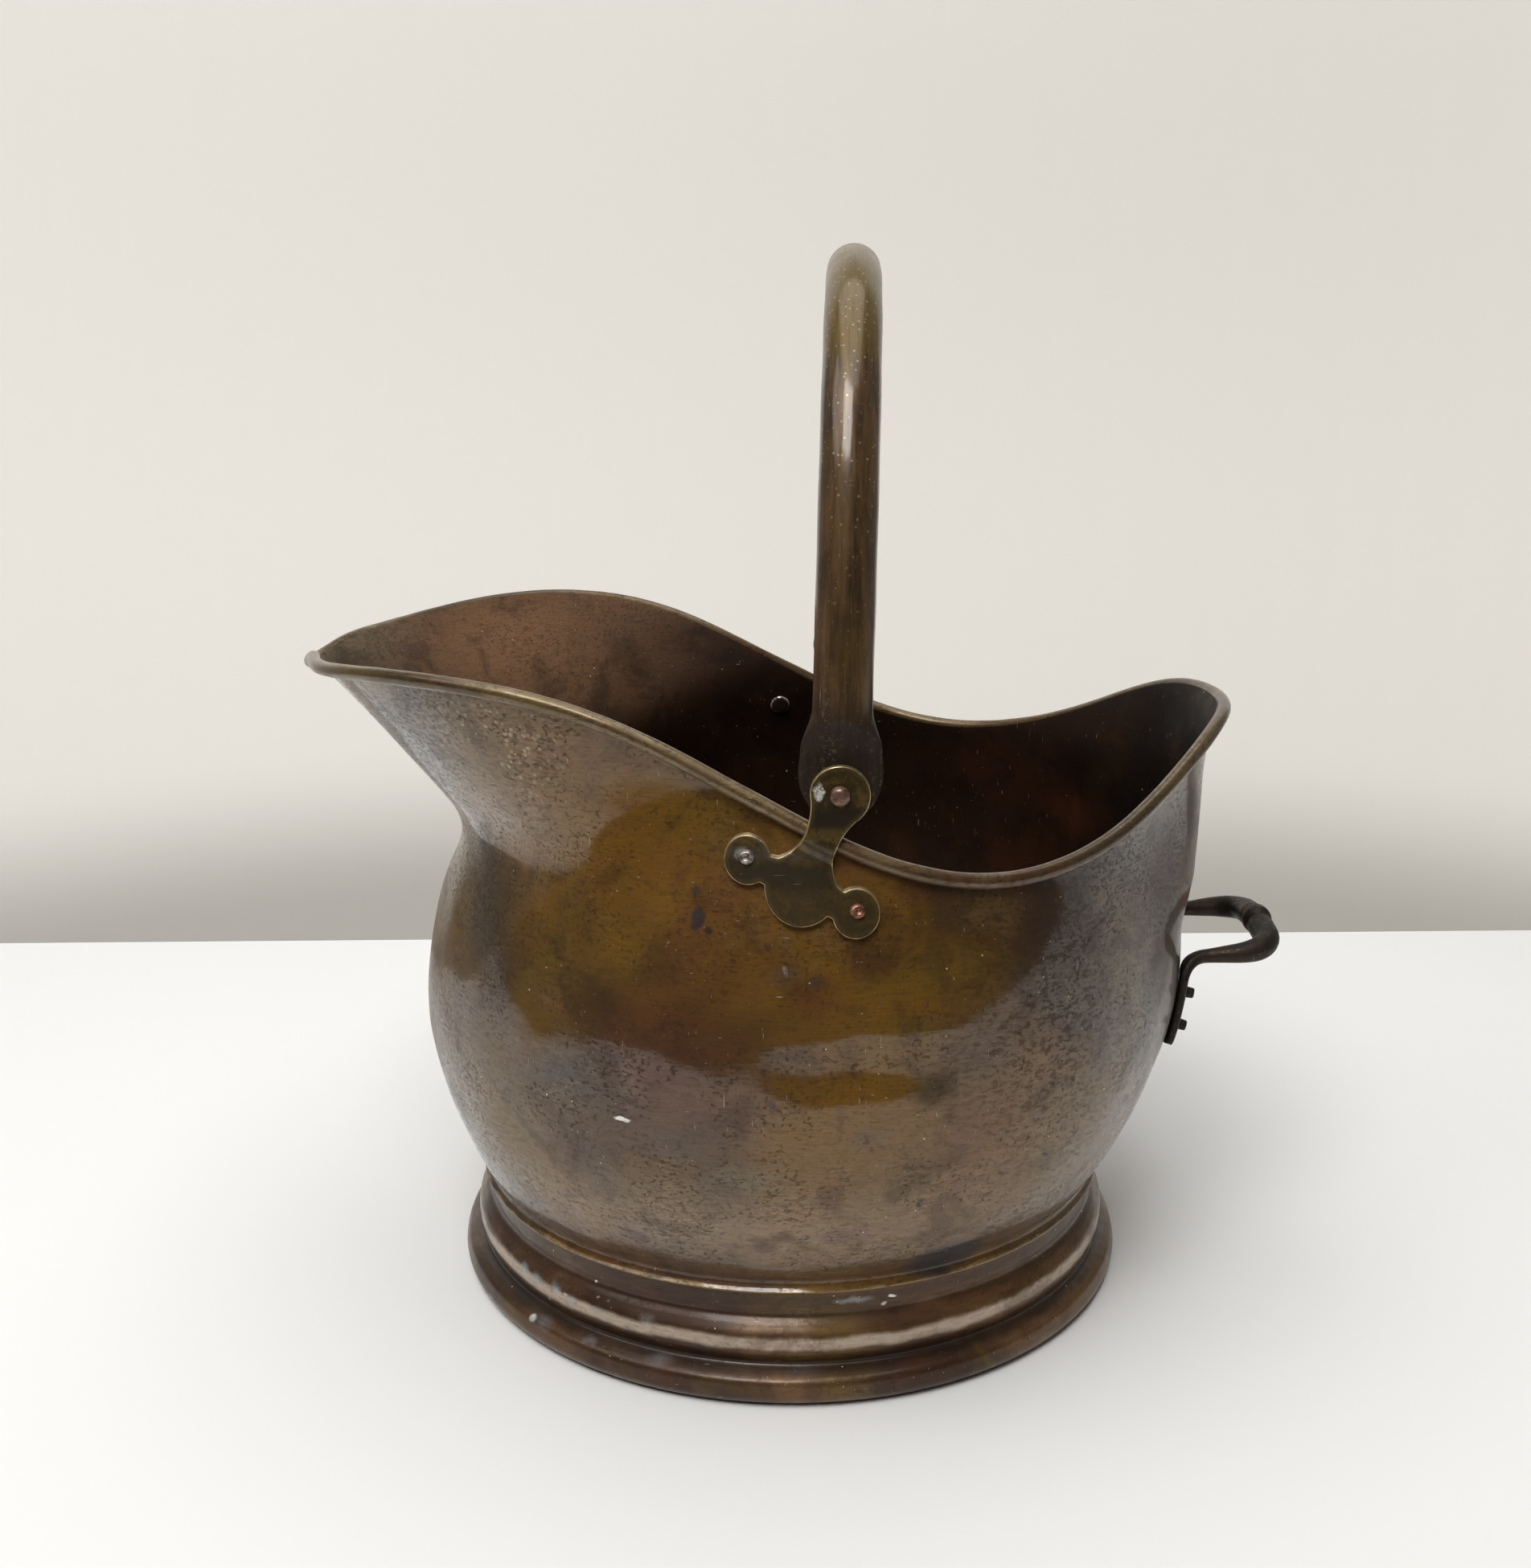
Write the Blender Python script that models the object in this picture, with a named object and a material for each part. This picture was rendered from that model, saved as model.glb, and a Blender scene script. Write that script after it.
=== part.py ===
"""Helmet coal scuttle in patinated sheet brass and copper.

A raised sheet bowl with a helmet-shaped mouth has its edge rolled outwards over a
wire, and stands on a spun foot ring.  A tubular bail with flattened eyes swings on
two lugs riveted to the sides of the mouth.  A forged loop handle is riveted to the
back of the bowl, for tipping the coal out over the spout.

Frame: metres, +Z up, origin on the table under the middle of the foot.  The spout
points along -X, the loop handle along +X, and the XZ plane is the plane of symmetry.
Turns round the bowl are counted in radians from the spout.
"""

import math

import bmesh
import bpy
import numpy as np
from mathutils import Vector

# Sheet and clearances
SHEET = 0.0010
FIT_GAP = 0.0003
FACET_GAP = 0.0006
WELD = 0.000001
CUT_OVERRUN = 0.004

# Bowl: base that flares out to the seam with the foot, waist, belly and shoulder
SEAM_RADIUS = 0.1262
SEAM_HEIGHT = 0.0395
BASE_FLANGE_WIDTH = 0.0080
BASE_CORNER = 0.0012
BASE_NARROWING = 0.0017
WAIST_RADIUS = SEAM_RADIUS - BASE_NARROWING
BASE_DEPTH = 0.0040
WAIST_HEIGHT = SEAM_HEIGHT + BASE_DEPTH
BELLY_SWELL = 0.0260
BELLY_RADIUS = WAIST_RADIUS + BELLY_SWELL
BELLY_RISE = 0.0816
BELLY_HEIGHT = WAIST_HEIGHT + BELLY_RISE
BELLY_SETBACK = 0.0048
BELLY_RISE_TO_BACK = 0.0110
SHOULDER_RADIUS = 0.1250
WALL_START = 0.030

# Mouth: reach is measured from the middle of the foot, height from the table
MOUTH_RADIUS = 0.1325
SPOUT_RUN = 0.0563
SPOUT_REACH = MOUTH_RADIUS + SPOUT_RUN
BACK_RUN = 0.0345
BACK_REACH = MOUTH_RADIUS + BACK_RUN
LOW_RISE = 0.0676
LOW_HEIGHT = BELLY_HEIGHT + LOW_RISE
CREST_RISE = 0.0626
CREST_HEIGHT = LOW_HEIGHT + CREST_RISE
BACK_RISE = 0.0378
BACK_HEIGHT = LOW_HEIGHT + BACK_RISE
VALLEY_BLEND = 0.028
LIP_FLARE = 0.0035
LIP_DEPTH = 0.010
BEAD_RADIUS = 0.0027

# Foot ring
COLLAR_SETBACK = 0.0014
FOOT_FLARE = 0.0100
# Rows of the foot's outer profile: share of the flare beyond the collar, and share of
# the foot's height.
FOOT_PROFILE_SHARES = (
    (0.00, 1.00),
    (-0.04, 0.86),
    (-0.06, 0.78),
    (0.16, 0.71),
    (0.38, 0.63),
    (0.44, 0.55),
    (0.40, 0.46),
    (0.30, 0.39),
    (0.30, 0.345),
    (0.62, 0.305),
    (0.88, 0.26),
    (0.98, 0.19),
    (1.00, 0.13),
    (0.92, 0.075),
    (0.76, 0.035),
    (0.50, 0.00),
    (0.22, 0.00),
)

# Bottom plate of the bowl
PLATE_THICKNESS = 0.0012
PLATE_CROWN = 0.0015

# Bail
PIVOT_X = 0.0205
PIVOT_ABOVE_BEAD = 0.0176
BAIL_TUBE = 0.01905
BAIL_RISE = 0.1655
BAIL_NARROWING_SHARE = 0.04
BAIL_CORNER_POWER = 3.0
BAIL_LEAN = math.radians(1.2)
EYE_WIDTH = 0.0276
EYE_THICKNESS = 0.0040
EYE_DROP = 0.0097
EYE_WIDEST_HEIGHT = 0.0067
EYE_CREASE_HEIGHT = 0.0130
NECK_HEIGHT = 0.0270

# Lugs
LUG_THICKNESS = 0.0024
LUG_EAR_SPACING = 0.0383
LUG_EAR_RADIUS = 0.0077
LUG_LOBE_RADIUS = 0.0120
LUG_BRIDGE_HALF = 0.0045
LUG_NECK_HALF = 0.0056
LUG_NECK_HEIGHT = 0.0160
LUG_HEAD_RADIUS = 0.0097
LUG_HEAD_HEIGHT = 0.0320
LUG_HEAD_SETBACK = 0.0010
LUG_HEAD_OFFSET = -0.0016
LUG_HEAD_JOIN = math.radians(35.0)
LUG_BEND_RADIUS = 0.0060

# Rivets
PIVOT_SHANK_RADIUS = 0.0022
PIVOT_HEAD_RADIUS = 0.0034
PIVOT_HEAD_HEIGHT = 0.0019
LUG_SHANK_RADIUS = 0.0014
LUG_RIVET_HEAD_RADIUS = 0.0025
LUG_RIVET_HEAD_HEIGHT = 0.0013
REAR_SHANK_RADIUS = 0.0016
REAR_STUB_RADIUS = 0.0022
REAR_STUB_HEIGHT = 0.0028
INNER_HEAD_RADIUS = 0.0032
INNER_HEAD_HEIGHT = 0.0012

# Rear loop handle
TAB_HALF_SPACING = 0.0290
TAB_DROP = 0.0292
TAB_BOTTOM_HEIGHT = BELLY_HEIGHT - TAB_DROP
TAB_WIDTH = 0.0150
TAB_THICKNESS = 0.0034
TAB_LENGTH = 0.0350
LEG_HEIGHT = TAB_BOTTOM_HEIGHT + TAB_LENGTH
GRIP_STANDOFF = 0.0325
GRIP_RISE = 0.0065
GRIP_HEIGHT = LEG_HEIGHT + GRIP_RISE
TAB_BEND_RADIUS = 0.0080
GRIP_CORNER_RADIUS = 0.0150
LEG_DIAMETER = 0.0056
CORNER_DIAMETER = 0.0090
GRIP_DIAMETER = 0.0100
KNOP_DIAMETER = 0.0118
KNOP_HALF_LENGTH = 0.0034
GROOVE_DIAMETER = 0.0086
GROOVE_OFFSET = 0.0046
GROOVE_SHOULDER = 0.0064
REAR_RIVET_SHARES = (0.614, 0.243)

# Rows of the mouth's table: turn from the spout in degrees; reach as a share of the
# way from the mouth radius to the spout (first half) or to the back (second half);
# height as a share of the way from the low side to the crest, or to the back; lean of
# the wall under the rim, as run over rise; softness of the valley between wall and
# belly, and the flare of the lip, both as shares of their full sizes.
MOUTH_SHARES = (
    (0.0, 1.000, 0.812, 0.89, 0.55, 0.1),
    (6.0, 0.915, 0.876, 0.83, 0.55, 0.1),
    (14.0, 0.838, 0.911, 0.78, 0.55, 0.1),
    (30.0, 0.711, 0.970, 0.685, 0.56, 0.1),
    (45.0, 0.527, 1.000, 0.51, 0.60, 0.1),
    (60.0, 0.238, 0.909, 0.23, 0.73, 0.2),
    (75.0, 0.015, 0.669, 0.07, 0.93, 0.3),
    (90.0, 0.000, 0.379, 0.02, 1.00, 0.4),
    (105.0, 0.193, 0.112, 0.00, 0.93, 0.4),
    (120.0, 0.395, 0.000, 0.00, 0.71, 0.4),
    (135.0, 0.517, 0.153, 0.02, 0.50, 0.5),
    (150.0, 0.641, 0.529, 0.05, 0.43, 0.7),
    (165.0, 0.884, 0.926, 0.02, 0.36, 0.9),
    (180.0, 1.000, 1.000, 0.02, 0.34, 1.0),
)
SPOUT_HALF_LAST_TURN = 90.0
SPOUT_SIDE_LAST_HEIGHT_TURN = 120.0

# Fineness of the surfaces
BOWL_STEPS = 56
SPOUT_CROWDING_SHARE = 0.15
FOOT_STEPS = 48
SOLVE_STEPS = 60
BOWL_LOWER_SHARES = (0.0, 0.2, 0.4, 0.6, 0.8)
BOWL_UPPER_SHARES = (0.0, 0.16, 0.32, 0.43, 0.51, 0.59, 0.67, 0.75, 0.83, 0.92, 1.0)
LUG_COLUMNS = 9
LUG_ROW_SHARES = (0.0, 0.20, 0.29, 0.36, 0.43, 0.475, 0.505, 0.535, 0.565, 0.60, 0.64, 0.69, 1.0)
ROLL_STEPS = 8
ROLL_END = math.radians(-112.0)
WIRE_SIDES = 6
TUBE_SIDES = 14
HANDLE_SIDES = 10
RIVET_SIDES = 8
HOLE_SIDES = 8


def smooth_step(share):
    """Rise from 0 to 1 with level ends."""
    share = np.clip(share, 0.0, 1.0)
    return share * share * (3.0 - 2.0 * share)


def mouth_curve(values):
    """Return a function of the turn, smooth through one value per row of the mouth."""
    turns = np.radians([row[0] for row in MOUTH_SHARES])
    values = np.asarray(values, dtype=float)
    turns = np.concatenate([-turns[2:0:-1], turns, 2.0 * math.pi - turns[-2:-4:-1]])
    values = np.concatenate([values[2:0:-1], values, values[-2:-4:-1]])
    slopes = np.zeros(len(turns))
    slopes[1:-1] = (values[2:] - values[:-2]) / (turns[2:] - turns[:-2])

    def curve(turn):
        turn = np.abs(np.mod(np.asarray(turn) + math.pi, 2.0 * math.pi) - math.pi)
        row = np.clip(np.searchsorted(turns, turn, side="right") - 1, 1, len(turns) - 3)
        span = turns[row + 1] - turns[row]
        share = (turn - turns[row]) / span
        ends = values[row] + (values[row + 1] - values[row]) * smooth_step(share)
        leave = share * (1.0 - share) ** 2 * slopes[row]
        arrive = share**2 * (1.0 - share) * slopes[row + 1]
        return ends + span * (leave - arrive)

    return curve


def mouth_reaches():
    """Reach of the rim at each row of the mouth's table."""
    reaches = []
    for row in MOUTH_SHARES:
        end_reach = SPOUT_REACH if row[0] <= SPOUT_HALF_LAST_TURN else BACK_REACH
        reaches.append(MOUTH_RADIUS + (end_reach - MOUTH_RADIUS) * row[1])
    return reaches


def mouth_heights():
    """Height of the rim at each row of the mouth's table."""
    heights = []
    for row in MOUTH_SHARES:
        on_spout_side = row[0] <= SPOUT_SIDE_LAST_HEIGHT_TURN
        peak = CREST_HEIGHT if on_spout_side else BACK_HEIGHT
        heights.append(LOW_HEIGHT + (peak - LOW_HEIGHT) * row[2])
    return heights


rim_reach = mouth_curve(mouth_reaches())
rim_height = mouth_curve(mouth_heights())
wall_lean = mouth_curve([row[3] for row in MOUTH_SHARES])
valley_blend = mouth_curve([VALLEY_BLEND * row[4] for row in MOUTH_SHARES])
lip_flare = mouth_curve([LIP_FLARE * row[5] for row in MOUTH_SHARES])


def wall_top(turn):
    """Reach and height of the outer wall where it meets the rolled bead.

    The bead's centre lies on the rim line, one bead radius below its top, and the wall
    reaches it square to its own slope.
    """
    slope = wall_lean(turn) + lip_flare(turn) / LIP_DEPTH
    step = (BEAD_RADIUS - SHEET) / np.sqrt(1.0 + slope**2)
    return rim_reach(turn) - step, rim_height(turn) - BEAD_RADIUS + step * slope


def belly(turn):
    """Reach and height of the widest point of the belly, which sits back a little."""
    reach = BELLY_RADIUS - BELLY_SETBACK * np.cos(turn)
    height = BELLY_HEIGHT - BELLY_RISE_TO_BACK * np.cos(turn)
    return reach, height


def ball_reach(turn, height):
    """Reach of the belly's two arcs: one through the waist, another above."""
    belly_reach, belly_height = belly(turn)
    swell = belly_reach - WAIST_RADIUS
    lower_radius = ((belly_height - WAIST_HEIGHT) ** 2 + swell**2) / (2.0 * swell)
    radius = np.where(height < belly_height, lower_radius, SHOULDER_RADIUS)
    fall = np.maximum(radius**2 - (height - belly_height) ** 2, 0.0)
    return belly_reach - radius + np.sqrt(fall)


def wall_reach(turn, height):
    """Reach of the bowl's outer surface from the waist up to the bead.

    The belly closes in above its widest place, and the leaning wall under the rim
    takes over from it through a soft valley, a smooth maximum of the two.  The line of
    the wall is set back so that the smooth maximum ends exactly at the bead.
    """
    top_reach, top_height = wall_top(turn)
    blend = valley_blend(turn)
    ball = ball_reach(turn, height)
    excess = top_reach - ball_reach(turn, top_height)
    soft_excess = 2.0 * np.sqrt(blend * np.maximum(excess, 0.0)) - blend
    line_top = ball_reach(turn, top_height) + np.where(excess < blend, soft_excess, excess)
    below_top = top_height - height
    lip = lip_flare(turn) * (1.0 - np.exp(-below_top / LIP_DEPTH))
    wall = line_top - lip - wall_lean(turn) * below_top
    overlap = np.maximum(blend - np.abs(wall - ball), 0.0)
    rise = np.maximum(wall - ball, 0.0) + overlap**2 / (4.0 * blend)
    start_share = (height - belly(turn)[1]) / WALL_START
    return ball + rise * smooth_step(start_share)


def wall_point(turn, height):
    """Point of the bowl's outer surface."""
    reach = float(wall_reach(turn, height))
    return np.array([-reach * math.cos(turn), reach * math.sin(turn), height])


def wall_normal(turn, height):
    """Outward unit normal of the bowl's outer surface, from its neighbours."""
    turn_step = SHEET / BELLY_RADIUS
    along_turn = wall_point(turn + turn_step, height) - wall_point(turn - turn_step, height)
    along_height = wall_point(turn, height + SHEET) - wall_point(turn, height - SHEET)
    normal = np.cross(along_height, along_turn)
    return normal / np.linalg.norm(normal)


def side_of_wall(x, height):
    """Distance from the plane of symmetry to the outer wall, at a place on its side."""
    side = np.full(np.shape(x), MOUTH_RADIUS)
    for _ in range(SOLVE_STEPS):
        turn = np.arctan2(side, -x)
        top = wall_top(turn)[1]
        reach = wall_reach(turn, np.minimum(height, top))
        side = np.sqrt(np.maximum(reach**2 - x**2, 0.0))
    return side


def side_of_bead(x):
    """Half width and height of the bead's centre line at a place along the side."""
    side = np.full(np.shape(x), MOUTH_RADIUS)
    for _ in range(SOLVE_STEPS):
        side = np.sqrt(np.maximum(rim_reach(np.arctan2(side, -x)) ** 2 - x**2, 0.0))
    return side, rim_height(np.arctan2(side, -x)) - BEAD_RADIUS


def metal(name, colour, roughness):
    """Metallic material of one finish."""
    material = bpy.data.materials.new(name)
    material.use_nodes = True
    shader = material.node_tree.nodes["Principled BSDF"]
    shader.inputs["Base Color"].default_value = (*colour, 1.0)
    shader.inputs["Metallic"].default_value = 1.0
    shader.inputs["Roughness"].default_value = roughness
    return material


def add_object(name, mesh, material=None):
    """Link a mesh as an object, smooth shaded but for its sharp edges."""
    item = bpy.data.objects.new(name, mesh)
    bpy.context.scene.collection.objects.link(item)
    mesh.shade_smooth()
    mesh.set_sharp_from_angle(angle=math.radians(35.0))
    if material is not None:
        mesh.materials.append(material)
    return item


def mesh_from(name, points, faces):
    """Mesh with doubles merged and all faces pointing out."""
    mesh = bpy.data.meshes.new(name)
    mesh.from_pydata([tuple(map(float, point)) for point in points], [], faces)
    shape = bmesh.new()
    shape.from_mesh(mesh)
    bmesh.ops.remove_doubles(shape, verts=shape.verts, dist=WELD)
    bmesh.ops.recalc_face_normals(shape, faces=shape.faces)
    shape.to_mesh(mesh)
    shape.free()
    return mesh


def loft(name, sections, ring):
    """Skin equal closed sections; a ring joins its ends, a bar has them capped."""
    sections = np.asarray(sections, dtype=float)
    count, sides, _ = sections.shape
    faces = []
    for section in range(count if ring else count - 1):
        here = section * sides
        there = ((section + 1) % count) * sides
        for side in range(sides):
            following = (side + 1) % sides
            faces.append((here + side, here + following, there + following, there + side))
    if not ring:
        faces.append(tuple(range(sides - 1, -1, -1)))
        faces.append(tuple((count - 1) * sides + side for side in range(sides)))
    return mesh_from(name, sections.reshape(-1, 3), faces)


def turned(name, profile, steps, closed):
    """Spin a profile of (radius, height) points round the vertical axis."""
    shape = bmesh.new()
    corners = [shape.verts.new((radius, 0.0, height)) for radius, height in profile]
    edges = [shape.edges.new(pair) for pair in zip(corners[:-1], corners[1:])]
    if closed:
        edges.append(shape.edges.new((corners[-1], corners[0])))
    bmesh.ops.spin(
        shape,
        geom=corners + edges,
        axis=(0.0, 0.0, 1.0),
        cent=(0.0, 0.0, 0.0),
        angle=2.0 * math.pi,
        steps=steps,
        use_merge=True,
    )
    bmesh.ops.remove_doubles(shape, verts=shape.verts, dist=WELD)
    bmesh.ops.recalc_face_normals(shape, faces=shape.faces)
    mesh = bpy.data.meshes.new(name)
    shape.to_mesh(mesh)
    shape.free()
    return mesh


def place_along(item, point, direction):
    """Put an object's origin at a point with its Z axis along a direction."""
    item.location = Vector([float(value) for value in point])
    item.rotation_mode = "QUATERNION"
    axis = Vector([float(value) for value in direction])
    item.rotation_quaternion = axis.to_track_quat("Z", "Y")


def hide_cutter(item):
    """Mark an object as a cutter."""
    item.hide_render = True
    item.display_type = "WIRE"


def add_boolean(item, cutter, operation):
    """Cut or trim an object with a closed cutter."""
    modifier = item.modifiers.new(cutter.name, "BOOLEAN")
    modifier.operation = operation
    modifier.solver = "EXACT"
    modifier.object = cutter


def drill(name, seats, shank_radius, depth):
    """Cutter of one round bar for each seat, a point and an outward direction."""
    radius = (shank_radius + FIT_GAP) / math.cos(math.pi / HOLE_SIDES)
    points = []
    faces = []
    for point, direction in seats:
        axis = Vector([float(value) for value in direction])
        turn = axis.to_track_quat("Z", "Y")
        first = len(points)
        for end in (-depth, depth):
            for side in range(HOLE_SIDES):
                angle = 2.0 * math.pi * side / HOLE_SIDES
                local = Vector((radius * math.cos(angle), radius * math.sin(angle), end))
                points.append(np.array(point) + np.array(turn @ local))
        near = list(range(first, first + HOLE_SIDES))
        far = [corner + HOLE_SIDES for corner in near]
        faces.append(tuple(reversed(near)))
        faces.append(tuple(far))
        for side in range(HOLE_SIDES):
            following = (side + 1) % HOLE_SIDES
            faces.append((near[side], near[following], far[following], far[side]))
    cutter = add_object(name, mesh_from(name, points, faces))
    hide_cutter(cutter)
    return cutter


def outward_normals(grid):
    """Unit normals of a grid of points that closes on itself along its first axis."""
    wrapped = np.concatenate([grid[-1:], grid, grid[:1]])
    along_turn = np.gradient(wrapped, axis=0)[1:-1]
    along_section = np.gradient(grid, axis=1)
    normals = np.cross(along_section, along_turn)
    return normals / np.linalg.norm(normals, axis=2, keepdims=True)


def bowl_outer_grid(turns):
    """Outer surface of the bowl, from the base flange's edge up to the bead."""
    flange_radius = SEAM_RADIUS - BASE_FLANGE_WIDTH
    base = (
        (flange_radius, SEAM_HEIGHT),
        (SEAM_RADIUS - BASE_CORNER, SEAM_HEIGHT),
        (SEAM_RADIUS, SEAM_HEIGHT + BASE_CORNER),
        (WAIST_RADIUS + BASE_NARROWING * 0.35, SEAM_HEIGHT + BASE_DEPTH * 0.62),
    )
    sections = []
    for turn in turns:
        belly_height = float(belly(turn)[1])
        top_height = float(wall_top(turn)[1])
        levels = [WAIST_HEIGHT + (belly_height - WAIST_HEIGHT) * share for share in BOWL_LOWER_SHARES]
        levels += [belly_height + (top_height - belly_height) * share for share in BOWL_UPPER_SHARES]
        section = [(-radius * math.cos(turn), radius * math.sin(turn), height) for radius, height in base]
        section += [tuple(wall_point(turn, level)) for level in levels]
        sections.append(section)
    return np.array(sections)


def bead_frames(top_points, top_normals):
    """Centre line of the bead and, at each place, its up direction."""
    centres = top_points + top_normals * (BEAD_RADIUS - SHEET)
    wrapped = np.concatenate([centres[-1:], centres, centres[:1]])
    tangents = np.gradient(wrapped, axis=0)[1:-1]
    ups = np.cross(tangents, top_normals)
    ups /= np.linalg.norm(ups, axis=1, keepdims=True)
    ups *= np.sign(ups[:, 2:3])
    return centres, ups


def build_bowl(material):
    """Bowl with its rolled rim, in one sheet, and the wire inside the roll."""
    shares = np.arange(BOWL_STEPS) * 2.0 / BOWL_STEPS
    turns = math.pi * shares - SPOUT_CROWDING_SHARE * np.sin(math.pi * shares)
    outer = bowl_outer_grid(turns)
    normals = outward_normals(outer)
    inner = outer - SHEET * normals
    centres, ups = bead_frames(outer[:, -1], normals[:, -1])
    outwards = normals[:, -1]

    def around(radius, angle):
        return centres + radius * (math.cos(angle) * outwards + math.sin(angle) * ups)

    roll_outside = [around(BEAD_RADIUS, angle) for angle in np.linspace(math.pi, ROLL_END, ROLL_STEPS + 1)]
    inner_steps = ROLL_STEPS - 2
    roll_inside = [around(BEAD_RADIUS - SHEET, angle) for angle in np.linspace(ROLL_END, math.pi, inner_steps)]
    rows = [inner[:, level] for level in range(inner.shape[1] - 1)]
    rows += roll_outside + roll_inside
    rows += [outer[:, level] for level in range(outer.shape[1] - 2, -1, -1)]
    bowl = add_object("body_shell", loft("body_shell", np.stack(rows, axis=1), True), material)

    wire_radius = BEAD_RADIUS - SHEET - FIT_GAP
    wire_rows = []
    for side in range(WIRE_SIDES):
        wire_rows.append(around(wire_radius, 2.0 * math.pi * side / WIRE_SIDES))
    wire = add_object("rim_wire", loft("rim_wire", np.stack(wire_rows, axis=1), True))
    return bowl, wire


def offset_profile(profile, distance):
    """Move an open profile sideways, to its left, by a distance."""
    points = np.array(profile)
    along = np.gradient(points, axis=0)
    left = np.stack([-along[:, 1], along[:, 0]], axis=1)
    left /= np.linalg.norm(left, axis=1, keepdims=True)
    return points + distance * left


def build_foot(material):
    """Spun foot ring under the bowl's base: a collar, a cove, a bead and a flange."""
    collar = SEAM_RADIUS - COLLAR_SETBACK
    top = SEAM_HEIGHT - FIT_GAP
    outside = []
    for radial_share, height_share in FOOT_PROFILE_SHARES:
        outside.append((collar + FOOT_FLARE * radial_share, top * height_share))
    inside = offset_profile(outside, -SHEET)[::2]
    inside[0, 1] = top
    profile = outside + [tuple(point) for point in inside[::-1]]
    return add_object("foot_ring", turned("foot_ring", profile, FOOT_STEPS, True), material)


def build_bottom_plate(material):
    """Slightly crowned disc that closes the bowl, resting on its base flange."""
    seat = SEAM_HEIGHT + SHEET + FIT_GAP
    narrowed = BASE_NARROWING * (SHEET + FIT_GAP + PLATE_THICKNESS) / BASE_DEPTH
    radius = SEAM_RADIUS - SHEET - FIT_GAP - BASE_CORNER - narrowed
    flat_radius = radius - BASE_FLANGE_WIDTH
    top = seat + PLATE_THICKNESS
    profile = (
        (0.0, top + PLATE_CROWN),
        (flat_radius, top),
        (radius, top),
        (radius, seat),
        (flat_radius, seat),
        (0.0, seat + PLATE_CROWN),
    )
    return add_object("bottom_plate", turned("bottom_plate", profile, FOOT_STEPS, False), material)


def rim_slope(x):
    """Angle of the bead's centre line at a place along the side, seen from the side."""
    step = BEAD_RADIUS
    drop = side_of_bead(np.array([x - step]))[1] - side_of_bead(np.array([x + step]))[1]
    return -math.atan2(float(drop[0]), 2.0 * step)


def lug_head_side():
    """Distance from the plane of symmetry to the inner face of the lug's head."""
    bead_side = float(side_of_bead(np.array([PIVOT_X]))[0][0])
    return bead_side + BEAD_RADIUS + FIT_GAP - LUG_HEAD_SETBACK


def lug_to_world(across, up):
    """Place in the lug's own plane, counted from between its ears, as x and height.

    The lug leans with the rim that it stands on.
    """
    turn_cos = math.cos(LUG_LEAN)
    turn_sin = math.sin(LUG_LEAN)
    origin_x = PIVOT_X - LUG_HEAD_OFFSET * turn_cos + LUG_HEAD_HEIGHT * turn_sin
    origin_height = PIVOT_HEIGHT - LUG_HEAD_OFFSET * turn_sin - LUG_HEAD_HEIGHT * turn_cos
    x = origin_x + across * turn_cos - up * turn_sin
    height = origin_height + across * turn_sin + up * turn_cos
    return x, height


PIVOT_HEIGHT = float(side_of_bead(np.array([PIVOT_X]))[1][0]) + PIVOT_ABOVE_BEAD
LUG_LEAN = rim_slope(PIVOT_X)


def lug_bed(x, height):
    """Surface that the lug lies against: the wall, the bead, then a plane above it."""
    wall = side_of_wall(x, height)
    slope = (side_of_wall(x, height + SHEET) - wall) / SHEET
    bed = wall + FIT_GAP * np.sqrt(1.0 + slope**2)
    bead_side, bead_height = side_of_bead(x)
    fall = (side_of_bead(x + SHEET)[1] - bead_height) / SHEET
    away = (height - bead_height) / np.sqrt(1.0 + fall**2)
    bead_reach = BEAD_RADIUS + FACET_GAP
    bulge = bead_side + np.sqrt(np.maximum(bead_reach**2 - away**2, 0.0))
    bed = np.where(np.abs(away) < bead_reach, np.maximum(bed, bulge), bed)
    above = np.maximum(np.where(away < bead_reach, bulge, 0.0), lug_head_side())
    return np.where(away > 0.0, above, bed)


def lug_inner_sides(across, rows):
    """Lug's inner face at rows of one column: the bed with its hollows bridged.

    A parabola of the bend radius is rolled over the bed, so that the plate follows
    everything that bulges and spans what is too hollow for it.
    """
    fine = np.linspace(rows[0], rows[-1], 420)
    bed = lug_bed(*lug_to_world(across, fine))
    parabola = (fine[:, None] - fine[None, :]) ** 2 / (2.0 * LUG_BEND_RADIUS)
    swollen = np.max(bed[None, :] - parabola, axis=1)
    bridged = np.min(swollen[None, :] + parabola, axis=1)
    return np.interp(rows, fine, bridged)


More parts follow.
